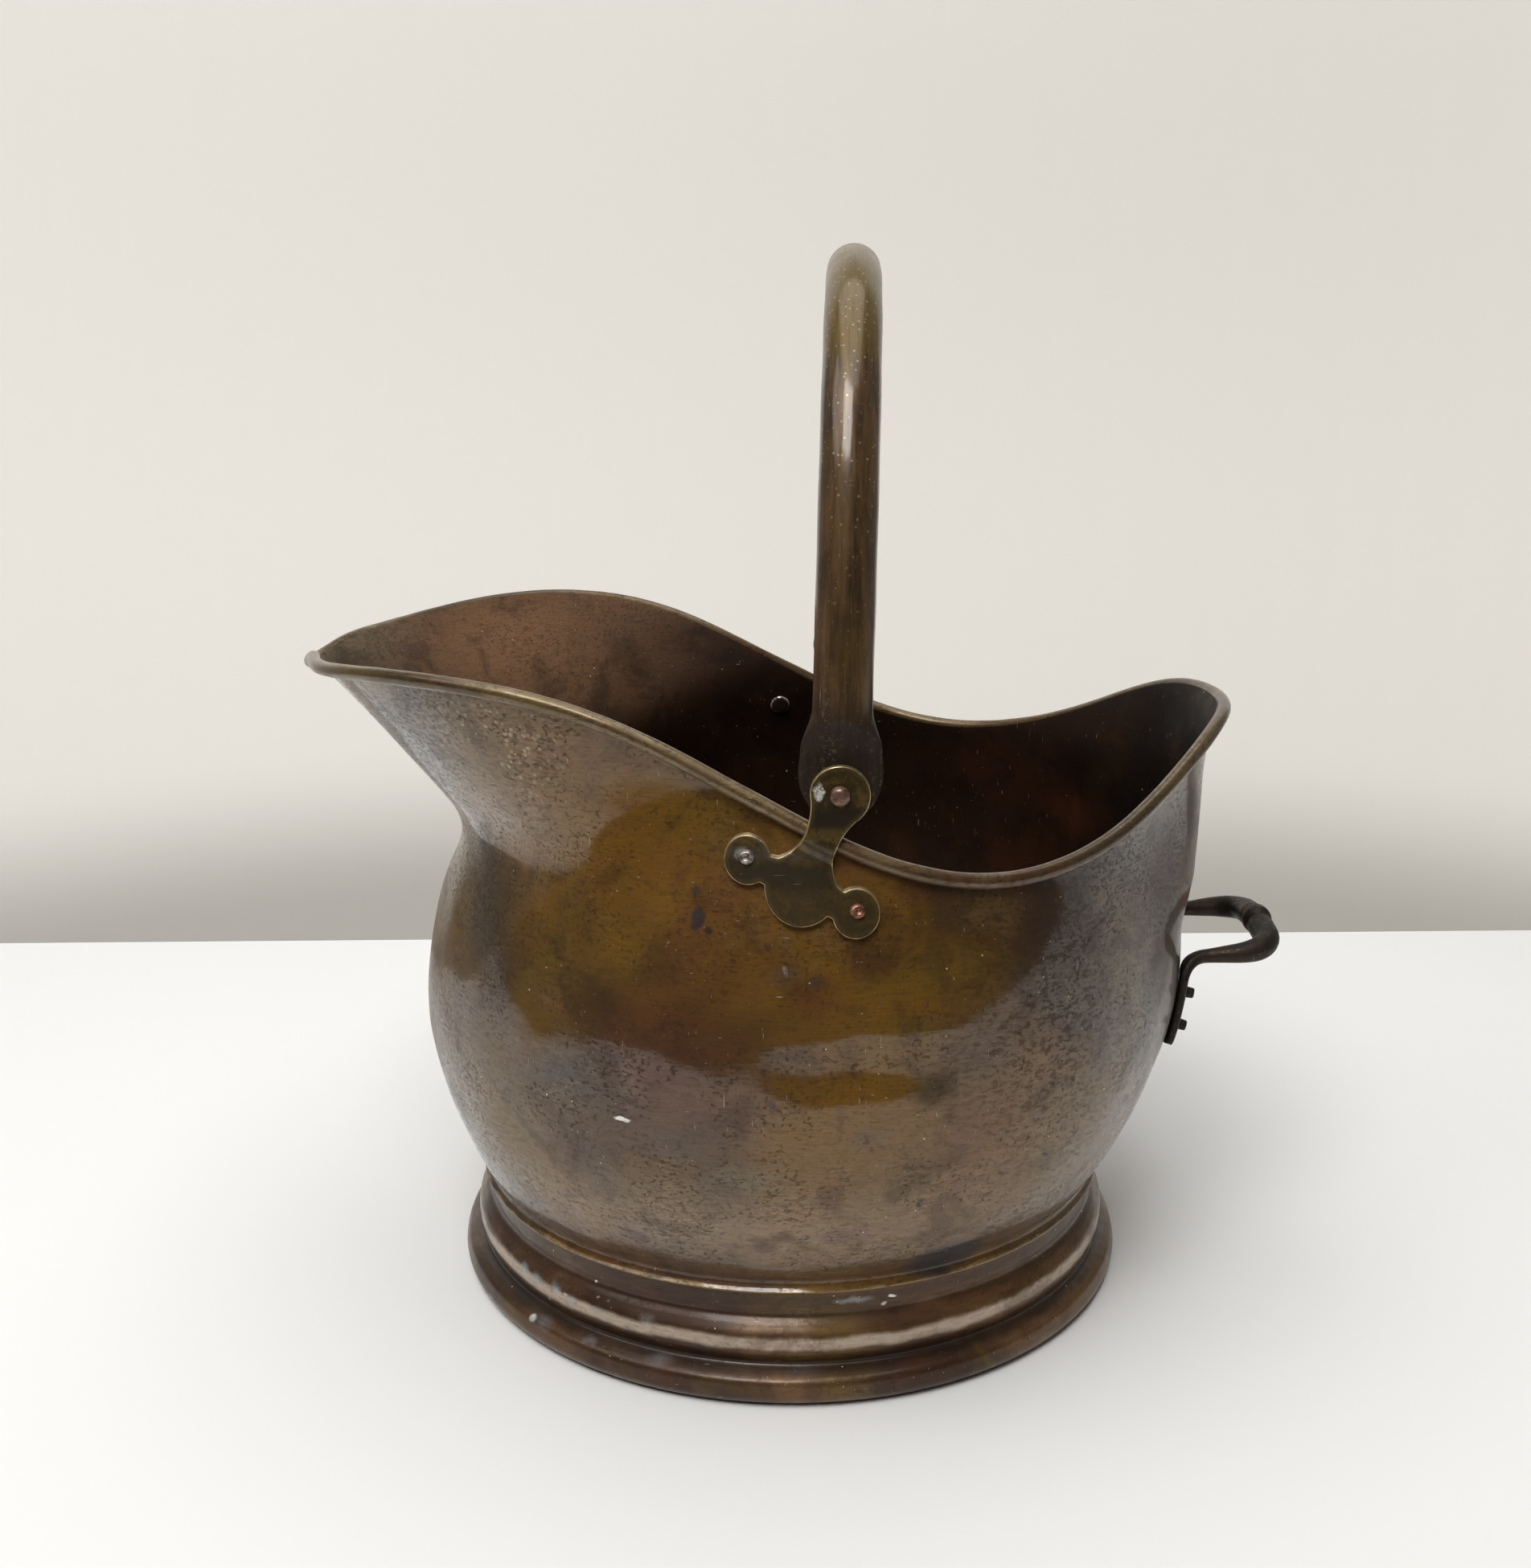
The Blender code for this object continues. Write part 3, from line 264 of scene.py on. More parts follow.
def grid_faces(rows: int, columns: int, rows_closed: bool, columns_closed: bool) -> Array:
    """Corner numbers of the quads of a grid of points, which may close on itself.

    Args:
        rows: count of rows of points.
        columns: count of points in a row.
        rows_closed: whether the last row joins the first.
        columns_closed: whether the end of each row joins its start.

    Returns:
        Four corner numbers for each quad.
    """
    row = np.arange(rows if rows_closed else rows - 1)[:, None]
    column = np.arange(columns if columns_closed else columns - 1)[None, :]
    row_after = (row + 1) % rows
    column_after = (column + 1) % columns
    corners = (
        row * columns + column,
        row * columns + column_after,
        row_after * columns + column_after,
        row_after * columns + column,
    )
    return np.stack([np.broadcast_to(c, (row.size, column.size)) for c in corners], axis=-1).reshape(-1, 4)


def tube_mesh(name: str, sections: Array) -> bpy.types.Mesh:
    """Closed bar through equal sections; each end closes in a fan to its middle.

    Args:
        name: name of the mesh.
        sections: array of (section, corner, xyz).

    Returns:
        The closed mesh.
    """
    count, sides, _ = sections.shape
    ends = np.stack([sections[0].mean(axis=0), sections[-1].mean(axis=0)])
    points = np.concatenate([sections.reshape(-1, 3), ends])
    walls = grid_faces(count, sides, False, True)
    side = np.arange(sides)
    after = (side + 1) % sides
    first, last = count * sides, count * sides + 1
    base = (count - 1) * sides
    near = np.stack([after, side, np.full(sides, first), np.full(sides, first)], axis=1)
    far = np.stack([base + side, base + after, np.full(sides, last), np.full(sides, last)], axis=1)
    return merged(mesh_from_arrays(name, points, np.concatenate([walls, near, far])))


def turned_mesh(name: str, profile: Array, steps: int) -> bpy.types.Mesh:
    """Closed body turned from a profile of (radius, height) that starts and ends on the axis."""
    points = round_grid(circle(steps), profile[:, 0], profile[:, 1])
    faces = grid_faces(steps, len(profile), True, False)
    return merged(mesh_from_arrays(name, points.reshape(-1, 3), faces))


def merged(mesh: bpy.types.Mesh) -> bpy.types.Mesh:
    """The same mesh with points that coincide made one, which closes poles and fans."""
    shape = bmesh.new()
    shape.from_mesh(mesh)
    bmesh.ops.remove_doubles(shape, verts=shape.verts, dist=1e-7)
    bmesh.ops.dissolve_degenerate(shape, edges=shape.edges, dist=1e-8)
    bmesh.ops.recalc_face_normals(shape, faces=shape.faces)
    shape.to_mesh(mesh)
    shape.free()
    mesh.shade_smooth()
    return mesh


def crisp(mesh: bpy.types.Mesh, degrees: float = 50.0) -> bpy.types.Mesh:
    """The same mesh, shaded smooth but for edges that fold by more than an angle."""
    mesh.set_sharp_from_angle(angle=math.radians(degrees))
    return mesh


def dressed(mesh: bpy.types.Mesh, *materials: bpy.types.Material) -> bpy.types.Mesh:
    """The same mesh with its materials."""
    for material in materials:
        mesh.materials.append(material)
    return mesh


def new_object(name: str, data: bpy.types.ID) -> bpy.types.Object:
    """Object for a mesh, a lamp or a camera, linked to the scene."""
    item = bpy.data.objects.new(name, data)
    bpy.context.scene.collection.objects.link(item)
    return item


def show(name: str, mesh: bpy.types.Mesh, body: str, nodes: tuple[str, ...]) -> None:
    """Object for a mesh that rides on a body and stands for CAD nodes.

    Args:
        name: name of the piece.
        mesh: its mesh, already in place.
        body: body that it moves with.
        nodes: CAD nodes that it replaces.
    """
    piece = new_object(name, mesh)
    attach(piece, body)
    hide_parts(*nodes)
    log.info("%s: %d faces on %s", name, len(mesh.polygons), body)


@dataclass(frozen=True)
class Station:
    """Rim and wall at one turn from the spout, as shares of the bowl's full sizes.

    The turn is in degrees.  Reach is a share of the way from the mouth radius to the
    spout or the back; height is a share of the way from the low side to the crest or
    to the back; lean is run over rise; valley and lip are shares of their full sizes.
    """

    turn: float
    reach: float
    height: float
    lean: float
    valley: float
    lip: float


@dataclass(frozen=True)
class Dent:
    """Place on the bowl, a hollow or a smooth seat: its turn in degrees, then sizes in metres."""

    turn: float
    height: float
    across: float
    upright: float
    depth: float = 0.0


@dataclass
class Bowl:
    """One raised sheet: flared base, round belly, leaning mouth and rolled rim."""

    sheet: float = 0.0010
    seam_radius: float = 0.1262
    seam_height: float = 0.0395
    flange_width: float = 0.0080
    base_round: float = 0.0012
    waist_radius: float = 0.1245
    waist_height: float = 0.0435
    belly_radius: float = 0.1505
    belly_height: float = 0.1251
    belly_setback: float = 0.0048
    belly_rise_to_back: float = 0.0110
    shoulder_radius: float = 0.1250
    wall_start: float = 0.030
    mouth_radius: float = 0.1325
    spout_run: float = 0.0563
    back_run: float = 0.0345
    low_height: float = 0.1927
    crest_rise: float = 0.0626
    back_rise: float = 0.0378
    valley_blend: float = 0.028
    lip_flare: float = 0.0035
    lip_depth: float = 0.010
    bead_radius: float = 0.0027
    roll_end: float = math.radians(-133.0)
    stations: tuple[Station, ...] = (
        Station(0.0, 1.000, 0.812, 0.89, 0.55, 0.1),
        Station(6.0, 0.915, 0.876, 0.83, 0.55, 0.1),
        Station(14.0, 0.838, 0.911, 0.78, 0.55, 0.1),
        Station(30.0, 0.711, 0.970, 0.685, 0.56, 0.1),
        Station(45.0, 0.527, 1.000, 0.51, 0.60, 0.1),
        Station(60.0, 0.238, 0.909, 0.23, 0.73, 0.2),
        Station(75.0, 0.015, 0.669, 0.07, 0.93, 0.3),
        Station(90.0, 0.000, 0.379, 0.02, 1.00, 0.4),
        Station(105.0, 0.193, 0.112, 0.00, 0.93, 0.4),
        Station(120.0, 0.395, 0.000, 0.00, 0.71, 0.4),
        Station(135.0, 0.517, 0.153, 0.02, 0.50, 0.5),
        Station(150.0, 0.641, 0.529, 0.05, 0.43, 0.7),
        Station(165.0, 0.884, 0.926, 0.02, 0.36, 0.9),
        Station(180.0, 1.000, 1.000, 0.02, 0.34, 1.0),
    )
    hammering: tuple[tuple[float, int, tuple[int, int], float], ...] = (
        (0.00030, 11, (3, 13), 0.085),
        (0.00018, 37, (9, 24), 0.045),
        (0.00004, 23, (26, 60), 0.020),
    )
    seat_margin: float = 0.35
    rim_fade: float = 0.030
    base_fade: float = 0.016
    dents: tuple[Dent, ...] = ()
    flat_seats: tuple[Dent, ...] = (Dent(97.0, 0.188, 0.042, 0.036), Dent(180.0, 0.113, 0.052, 0.036))
    roll_uneven: float = 0.035
    turns: int = 336
    turn_crowding: float = 0.13
    wall_rows: int = 96
    rounds: int = 60

    def __post_init__(self) -> None:
        """Make the five curves of the mouth from its stations."""
        knots = [math.radians(s.turn) for s in self.stations]
        runs = [(self.spout_run if s.turn <= 90.0 else self.back_run) * s.reach for s in self.stations]
        rises = [(self.crest_rise if s.turn <= 120.0 else self.back_rise) * s.height for s in self.stations]
        self.rim_reach = self.mirrored(knots, [self.mouth_radius + run for run in runs])
        self.rim_height = self.mirrored(knots, [self.low_height + rise for rise in rises])
        self.lean = self.mirrored(knots, [s.lean for s in self.stations])
        self.valley = self.mirrored(knots, [s.valley * self.valley_blend for s in self.stations])
        self.lip = self.mirrored(knots, [s.lip * self.lip_flare for s in self.stations])

    @staticmethod
    def mirrored(knots: list[float], values: list[float]) -> Callable[[Array], Array]:
        """Closed curve of the turn from values on one half and their mirror image."""
        full_knots = np.array(knots + [2.0 * math.pi - knot for knot in knots[-2:0:-1]])
        full_values = np.array(values + values[-2:0:-1])
        return closed_spline(full_knots, full_values, 2.0 * math.pi)

    def wall_top(self, turn: Array) -> tuple[Array, Array]:
        """Reach and height where the outer wall meets the bead, square to its slope."""
        slope = self.lean(turn) + self.lip(turn) / self.lip_depth
        step = (self.bead_radius - self.sheet) / np.sqrt(1.0 + slope**2)
        return self.rim_reach(turn) - step, self.rim_height(turn) - self.bead_radius + step * slope

    def belly(self, turn: Array) -> tuple[Array, Array]:
        """Reach and height of the widest place, a cosine further back than the foot."""
        reach = self.belly_radius - self.belly_setback * np.cos(turn)
        return reach, self.belly_height - self.belly_rise_to_back * np.cos(turn)

    def ball(self, turn: Array, height: Array) -> Array:
        """Reach of the belly: one arc from the waist to the widest place, one above it."""
        reach, middle = self.belly(turn)
        swell = reach - self.waist_radius
        lower = ((middle - self.waist_height) ** 2 + swell**2) / (2.0 * swell)
        radius = np.where(height < middle, lower, self.shoulder_radius)
        return reach - radius + np.sqrt(np.maximum(radius**2 - (height - middle) ** 2, 0.0))

    def wall(self, turn: Array, height: Array) -> Array:
        """Reach of the outer surface from the waist up to the bead.

        It is the smooth maximum of the belly and of a leaning line under the rim:
        the larger of the two, plus (blend - difference)^2 / (4 blend) where they are
        nearer than the blend.  The line is set back so that the sum ends at the bead.
        """
        top_reach, top_height = self.wall_top(turn)
        blend = self.valley(turn)
        ball = self.ball(turn, height)
        ball_top = self.ball(turn, top_height)
        excess = top_reach - ball_top
        soft = 2.0 * np.sqrt(blend * np.maximum(excess, 0.0)) - blend
        line_top = ball_top + np.where(excess < blend, soft, excess)
        below = top_height - height
        lip = self.lip(turn) * (1.0 - np.exp(-below / self.lip_depth))
        line = line_top - lip - self.lean(turn) * below
        overlap = np.maximum(blend - np.abs(line - ball), 0.0)
        rise = np.maximum(line - ball, 0.0) + overlap**2 / (4.0 * blend)
        return ball + rise * smooth_step((height - self.belly(turn)[1]) / self.wall_start)

    def relief(self, turn: Array, height: Array) -> Array:
        """Depth of the hollows: soft waves of the hammering and the dents, never outwards.

        Each dent is a bell, exp(-(d turn / width)^2 - (d height / width)^2), and all
        fade out towards the rim, the base and the smooth seats of lugs and handle.
        """
        depth = 0.0
        for blow, seed, counts, pitch in self.hammering:
            depth = depth + blow * (waves(turn, height, seed, counts, pitch) + 2.0)
        for dent in self.dents:
            across = half_turned(turn - math.radians(dent.turn)) * self.belly_radius / dent.across
            depth = depth + dent.depth * np.exp(-(across**2) - ((height - dent.height) / dent.upright) ** 2)
        top = self.wall_top(turn)[1]
        fade = smooth_step((top - height) / self.rim_fade)
        fade = fade * smooth_step((height - self.waist_height) / self.base_fade)
        for seat in self.flat_seats:
            away = np.abs(half_turned(turn)) - math.radians(seat.turn)
            across, upright = away * self.belly_radius / seat.across, (height - seat.height) / seat.upright
            fade = fade * smooth_step(across**2 + upright**2 - self.seat_margin)
        return depth * fade

    def side_of_wall(self, x: Array, height: Array) -> Array:
        """Distance from the plane of symmetry to the wall at a place on its side."""
        side = np.full(np.broadcast(x, height).shape, self.mouth_radius)
        for _ in range(self.rounds):
            turn = np.arctan2(side, -x)
            reach = self.wall(turn, np.minimum(height, self.wall_top(turn)[1]))
            side = np.sqrt(np.maximum(reach**2 - x**2, 0.0))
        return side

    def side_of_bead(self, x: Array) -> tuple[Array, Array]:
        """Half width and height of the bead's centre line at a place along the side."""
        side = np.full(np.shape(x), self.mouth_radius)
        for _ in range(self.rounds):
            side = np.sqrt(np.maximum(self.rim_reach(np.arctan2(side, -x)) ** 2 - x**2, 0.0))
        return side, self.rim_height(np.arctan2(side, -x)) - self.bead_radius

    def wall_point(self, turn: float, height: float) -> Array:
        """Point of the outer surface."""
        reach = float(self.wall(np.array(turn), np.array(height)))
        return np.array([-reach * math.cos(turn), reach * math.sin(turn), height])

    def wall_normal(self, turn: float, height: float) -> Array:
        """Outward unit normal, from points a millimetre to each side."""
        step = self.sheet
        turned = step / self.belly_radius
        around = self.wall_point(turn + turned, height) - self.wall_point(turn - turned, height)
        upward = self.wall_point(turn, height + step) - self.wall_point(turn, height - step)
        return unit(np.cross(upward, around))

    def seat(self, turn: float, height: float) -> Seat:
        """Point and outward normal of the outer surface."""
        return self.wall_point(turn, height), self.wall_normal(turn, height)

    def outer_grid(self, turns: Array) -> Array:
        """Points of the outer surface, a row of turns by places up the section.

        Returns:
            Array of (turn, place, xyz) from the inner edge of the base flange, round
            its corner, in along a hollow curve to the waist and up to the bead.
        """
        corner = np.linspace(-math.pi / 2.0, 0.0, 6)
        radius = self.seam_radius - self.base_round * (1.0 - np.cos(corner))
        level = self.seam_height + self.base_round * (1.0 + np.sin(corner))
        share = np.linspace(0.0, 1.0, 7)[1:-1]
        start, end = self.seam_height + self.base_round, self.waist_height
        hollow = self.waist_radius + (self.seam_radius - self.waist_radius) * (1.0 - share) ** 1.7
        radius = np.concatenate([[self.seam_radius - self.flange_width], radius, hollow])
        level = np.concatenate([[self.seam_height], level, start + (end - start) * share])
        base = np.tile(np.stack([radius, level], axis=-1), (len(turns), 1, 1))
        wall = (self.wall_top(turns)[1] - self.waist_height)[:, None]
        heights = self.waist_height + wall * np.linspace(0.0, 1.0, self.wall_rows)
        column = turns[:, None] + np.zeros_like(heights)
        reach = self.wall(column, heights) - self.relief(column, heights)
        section = np.concatenate([base, np.stack([reach, heights], axis=-1)], axis=1)
        return round_grid(turns, section[..., 0], section[..., 1]) * [-1.0, 1.0, 1.0]

    @staticmethod
    def normals(grid: Array) -> Array:
        """Outward unit normals of a grid that closes on itself along its first axis."""
        wrapped = np.concatenate([grid[-1:], grid, grid[:1]])
        return unit(np.cross(np.gradient(grid, axis=1), np.gradient(wrapped, axis=0)[1:-1]))

    def build(self) -> bpy.types.Mesh:
        """Mesh of the sheet, with the roll as a part circle round the bead's centre line.

        The section runs up the inside, over and round the roll to near the wall, back
        inside the roll, and down the outside; each row of it is one array of turns.
        """
        share = np.arange(self.turns) * 2.0 / self.turns
        turns = math.pi * share - self.turn_crowding * np.sin(math.pi * share)
        outer = self.outer_grid(turns)
        normals = self.normals(outer)
        inner = outer - self.sheet * normals
        outwards = normals[:, -1]
        centre = outer[:, -1] + outwards * (self.bead_radius - self.sheet)
        wrapped = np.concatenate([centre[-1:], centre, centre[:1]])
        up = unit(np.cross(np.gradient(wrapped, axis=0)[1:-1], outwards))
        up *= np.sign(up[:, 2:3])
        uneven = 1.0 - self.roll_uneven * (waves(turns, 0.0 * turns, 5, (14, 70), 0.03) + 1.2) / 2.0

        def around(radius: Array, angle: float) -> Array:
            """Points of the roll at one angle from straight out."""
            return centre + radius[:, None] * (math.cos(angle) * outwards + math.sin(angle) * up)

        over, back = np.linspace(math.pi, self.roll_end, 22), np.linspace(self.roll_end, math.pi, 9)
        rolled = [around(self.bead_radius * uneven, angle) for angle in over]
        hidden = [around((self.bead_radius - self.sheet) * uneven, angle) for angle in back]
        rows = np.concatenate(
            [inner[:, :-1], np.stack(rolled, axis=1), np.stack(hidden, axis=1), outer[:, -2::-1]], axis=1
        )
        slots = np.full(rows.shape[1], Skin.OUTSIDE.value)
        slots[: inner.shape[1] - 1] = Skin.INSIDE.value
        first = inner.shape[1] - 1
        slots[first : first + len(rolled) + len(hidden)] = Skin.RIM.value
        faces = grid_faces(rows.shape[0], rows.shape[1], True, True)
        mesh = mesh_from_arrays("bowl", rows.reshape(-1, 3), faces)
        mesh.polygons.foreach_set("material_index", np.tile(slots, self.turns).astype(np.int32))
        return crisp(mesh)


@dataclass
class Foot:
    """Spun ring under the bowl: collar, cove, bead and flange."""

    sheet: float = 0.0010
    collar_radius: float = 0.1248
    flare: float = 0.0100
    top: float = 0.0392
    uneven: float = 0.00010
    steps: int = 288
    rows: tuple[tuple[float, float], ...] = (
        (0.00, 1.00),
        (-0.04, 0.86),
        (-0.06, 0.78),
        (0.16, 0.71),
        (0.38, 0.63),
        (0.44, 0.55),
        (0.40, 0.46),
        (0.30, 0.39),
        (0.30, 0.345),
        (0.62, 0.305),
        (0.88, 0.26),
        (0.98, 0.19),
        (1.00, 0.13),
        (0.92, 0.075),
        (0.76, 0.035),
        (0.50, 0.00),
        (0.22, 0.00),
    )

    def build(self) -> bpy.types.Mesh:
        """Mesh of the ring: a smooth profile and its offset by the sheet, turned round.

        The ring is uneven by a fifth of a millimetre, always inwards, as spun sheet is.
        """
        outside = smooth_path(np.array(self.rows) * [self.flare, self.top] + [self.collar_radius, 0.0], 84)
        outside[:, 1] = np.clip(outside[:, 1], 0.0, self.top)
        along = unit(np.gradient(outside, axis=0))
        inside = outside + self.sheet * np.stack([along[:, 1], -along[:, 0]], axis=1)
        inside[:, 1] = np.clip(inside[:, 1], 0.0, self.top)
        profile = np.concatenate([outside, inside[::-3]])
        turns = circle(self.steps)
        waving = waves(turns[:, None], profile[None, :, 1], 3, (2, 11), 0.05)
        points = round_grid(turns, profile[:, 0] - self.uneven * (waving + 2.0), profile[:, 1])
        faces = grid_faces(self.steps, len(profile), True, True)
        mesh = mesh_from_arrays("foot", points.reshape(-1, 3), faces)
        return crisp(mesh, 60.0)


@dataclass
class BottomPlate:
    """Crowned disc that closes the bowl above the foot."""

    radius: float = 0.1226
    seat: float = 0.0408
    thickness: float = 0.0012
    crown: float = 0.00147

    def build(self) -> bpy.types.Mesh:
        """Mesh of the disc: two shallow crowns, 1 - (r / R)^2 high, closed at the rim."""
        share = np.linspace(0.0, 1.0, 28)
        rise = self.crown * (1.0 - share**2)
        under = np.stack([self.radius * share, self.seat + rise], axis=1)
        top = under + np.array([0.0, self.thickness])
        mesh = turned_mesh("bottom_plate", np.concatenate([top, under[::-1]]), 128)
        return crisp(mesh)


@dataclass
class Lug:
    """Plate with a round head, a neck, a lobe and two ears, bent over the rim's bead."""

    bowl: Bowl
    thickness: float = 0.0024
    pivot_x: float = 0.0205
    pivot_above_bead: float = 0.0176
    ear_spacing: float = 0.0383
    ear_radius: float = 0.0077
    lobe_radius: float = 0.0120
    bridge_half: float = 0.0045
    neck_half: float = 0.0056
    neck_height: float = 0.0160
    head_radius: float = 0.0097
    head_height: float = 0.0320
    head_setback: float = 0.0010
    head_offset: float = -0.0016
    head_join: float = math.radians(35.0)
    bend_radius: float = 0.0060
    gap: float = 0.0003
    edge_round: float = 0.0007
    outline_step: float = 0.00033
    mesh_step: float = 0.0009
    slope_step: float = 0.0005
    columns: int = 15
    rows: int = 260
    ring_shares: tuple[float, ...] = (0.12, 0.35, 0.7, 1.0)
    steepest: float = 1.6

    def __post_init__(self) -> None:
        """Take the pivot's height, the lean and the head's place from the rim."""
        x = np.array([self.pivot_x])
        bead_side, bead_height = self.bowl.side_of_bead(x)
        self.pivot_height = float(bead_height[0]) + self.pivot_above_bead
        self.head_side = float(bead_side[0]) + self.bowl.bead_radius + self.gap - self.head_setback
        step = self.bowl.bead_radius
        drop = self.bowl.side_of_bead(x - step)[1] - self.bowl.side_of_bead(x + step)[1]
        self.lean = -math.atan2(float(drop[0]), 2.0 * step)

    def place(self, across: Array, up: Array) -> tuple[Array, Array]:
        """X and height of a place in the lug's own leaning plane."""
        cosine, sine = math.cos(self.lean), math.sin(self.lean)
        start_x = self.pivot_x - self.head_offset * cosine + self.head_height * sine
        start_height = self.pivot_height - self.head_offset * sine - self.head_height * cosine
        return start_x + across * cosine - up * sine, start_height + across * sine + up * cosine

    def bed(self, x: Array, height: Array) -> Array:
        """Side of what the plate lies on: the wall, the bead's round, a plane above it."""
        bowl = self.bowl
        wall = bowl.side_of_wall(x, height)
        slope = (bowl.side_of_wall(x, height + bowl.sheet) - wall) / bowl.sheet
        bed = wall + self.gap * np.sqrt(1.0 + slope**2)
        bead_side, bead_height = bowl.side_of_bead(x)
        fall = (bowl.side_of_bead(x + bowl.sheet)[1] - bead_height) / bowl.sheet
        away = (height - bead_height) / np.sqrt(1.0 + fall**2)
        reach = bowl.bead_radius + self.gap
        bulge = bead_side + np.sqrt(np.maximum(reach**2 - away**2, 0.0))
        bed = np.where(np.abs(away) < reach, np.maximum(bed, bulge), bed)
        return np.where(away > 0.0, np.maximum(np.where(away < reach, bulge, 0.0), self.head_side), bed)

    def inner_face(self, across: Array, up: Array) -> Array:
        """Side of the plate's inner face: the bed closed by a rolling parabola.

        The bed is sampled on a grid, swollen by the parabola d^2 / (2 R) upwards and
        shrunk back, which bridges what is hollower than the bend radius, and then read
        off between the grid's places.
        """
        margin = 2.0 * self.slope_step
        columns = np.linspace(across.min() - margin, across.max() + margin, self.columns)
        fine = np.linspace(up.min() - margin, up.max() + margin, self.rows)
        parabola = (fine[:, None] - fine[None, :]) ** 2 / (2.0 * self.bend_radius)
        faces = []
        for column in columns:
            bed = self.bed(*self.place(np.full(len(fine), column), fine))
            swollen = np.max(bed[None, :] - parabola, axis=1)
            faces.append(np.min(swollen[None, :] + parabola, axis=1))
        faces = np.array(faces)
        column = (across - columns[0]) / (columns[1] - columns[0])
        row = (up - fine[0]) / (fine[1] - fine[0])
        c, r = np.minimum(column.astype(int), self.columns - 2), np.minimum(row.astype(int), self.rows - 2)
        p, q = column - c, row - r
        return (
            faces[c, r] * (1 - p) * (1 - q)
            + faces[c + 1, r] * p * (1 - q)
            + faces[c, r + 1] * (1 - p) * q
            + faces[c + 1, r + 1] * p * q
        )

    def outline(self) -> Array:
        """Closed outline, walked in steps of a third of a millimetre.

        The halves mirror each other: part of the lobe's circle, the ear's circle, a
        flaring neck, (1 - s)^2.5 wide, and the head's circle, all leaning with the head.
        """
        notch = math.asin(self.bridge_half / self.ear_radius)
        lobe_end = -math.asin(self.bridge_half / self.lobe_radius)
        lobe = arc(self.lobe_radius, -math.pi / 2.0, lobe_end, 30)
        ear = arc(self.ear_radius, notch - math.pi, math.pi - notch, 60, across=self.ear_spacing / 2.0)
        shoulder = self.lobe_radius * math.cos(lobe_end) - self.neck_half
        share = np.linspace(0.0, 1.0, 20)[1:-1]
        flare_up = self.bridge_half + (self.neck_height - self.bridge_half) * share
        flare = np.stack([self.neck_half + shoulder * (1.0 - share) ** 2.5, flare_up], axis=1)
        join_up = self.head_height - self.head_radius * math.sin(self.head_join)
        join_across = self.head_radius * math.cos(self.head_join)
        share = np.linspace(0.0, 1.0, 16)[:-1]
        neck_up = self.neck_height + (join_up - self.neck_height) * share
        neck = np.stack([self.neck_half + (join_across - self.neck_half) * share**2, neck_up], axis=1)
        head = arc(self.head_radius, -self.head_join, math.pi / 2.0, 40, up=self.head_height)
        half = np.concatenate([lobe, ear, flare, neck, head])
        whole = np.concatenate([half, half[-2:0:-1] * np.array([-1.0, 1.0]), half[:1]])
        whole[:, 0] += self.head_offset * np.clip(whole[:, 1] / self.head_height, 0.0, 1.0)
        return walk_evenly(whole, int(travelled(whole)[-1] / self.outline_step))[:-1]

    @staticmethod
    def edge_distance(places: Array, outline: Array) -> Array:
        """Distance from places to the nearest straight step of an outline."""
        start = outline[None, :, :]
        step = np.roll(outline, -1, axis=0)[None, :, :] - start
        away = places[:, None, :] - start
        share = np.clip(np.sum(away * step, axis=2) / np.sum(step * step, axis=2), 0.0, 1.0)
        return np.min(np.linalg.norm(away - share[..., None] * step, axis=2), axis=1)

    def build(self, side: Side) -> bpy.types.Mesh:
        """Mesh of the plate: its outline filled with small triangles, front and back.

        The front stands off the back by the thickness, which falls along a quarter
        round, r - sqrt(r^2 - (r - d)^2), over the last part d to the edge.
        """
        outline = self.outline()
        along = unit(np.roll(outline, -1, axis=0) - np.roll(outline, 1, axis=0))
        inwards = np.stack([-along[:, 1], along[:, 0]], axis=1)
        rings = [outline]
        for share in self.ring_shares:
            ring = outline + inwards * self.edge_round * share
            rings.append(ring[self.edge_distance(ring, outline) > self.edge_round * share * 0.93])
        low, high = outline.min(axis=0), outline.max(axis=0)
        lines = [np.arange(low[axis], high[axis], self.mesh_step) for axis in (0, 1)]
        grid = np.stack(np.meshgrid(*lines), axis=-1).reshape(-1, 2)
        rings.append(grid[self.edge_distance(grid, outline) > self.edge_round * 1.7])
        places = np.concatenate(rings)
        count = len(outline)
        edges = [(corner, (corner + 1) % count) for corner in range(count)]
        filled = delaunay_2d_cdt([Vector(place * 1000.0) for place in places], edges, [], 1, 1e-6)
        flat = np.array([list(place) for place in filled[0]]) / 1000.0
        triangles = np.array(filled[2])
        source = np.array([ids[0] for ids in filled[3]])
        distance = self.edge_distance(flat, outline)
        inner = self.inner_face(*flat.T)
        slopes = [
            (self.inner_face(*(flat + np.multiply(self.slope_step, way)).T) - inner) / self.slope_step
            for way in ((1.0, 0.0), (0.0, 1.0))
        ]
        tilt = np.sqrt(1.0 + slopes[0] ** 2 + slopes[1] ** 2)
        near = np.maximum(self.edge_round - distance, 0.0)
        fallen = self.edge_round - np.sqrt(np.maximum(self.edge_round**2 - near**2, 0.0))
        outer = inner + (self.thickness - fallen) * np.minimum(tilt, self.steepest)
        x, height = self.place(*flat.T)
        back, front = (np.stack([x, side.value * face, height], axis=1) for face in (inner, outer))
        total = len(flat)
        rim = np.full(count, -1)
        rim[source[source < count]] = np.flatnonzero(source < count)
        rim = rim[rim >= 0]
        after = np.roll(rim, -1)
        halves = ((rim, after, after + total), (rim, after + total, rim + total))
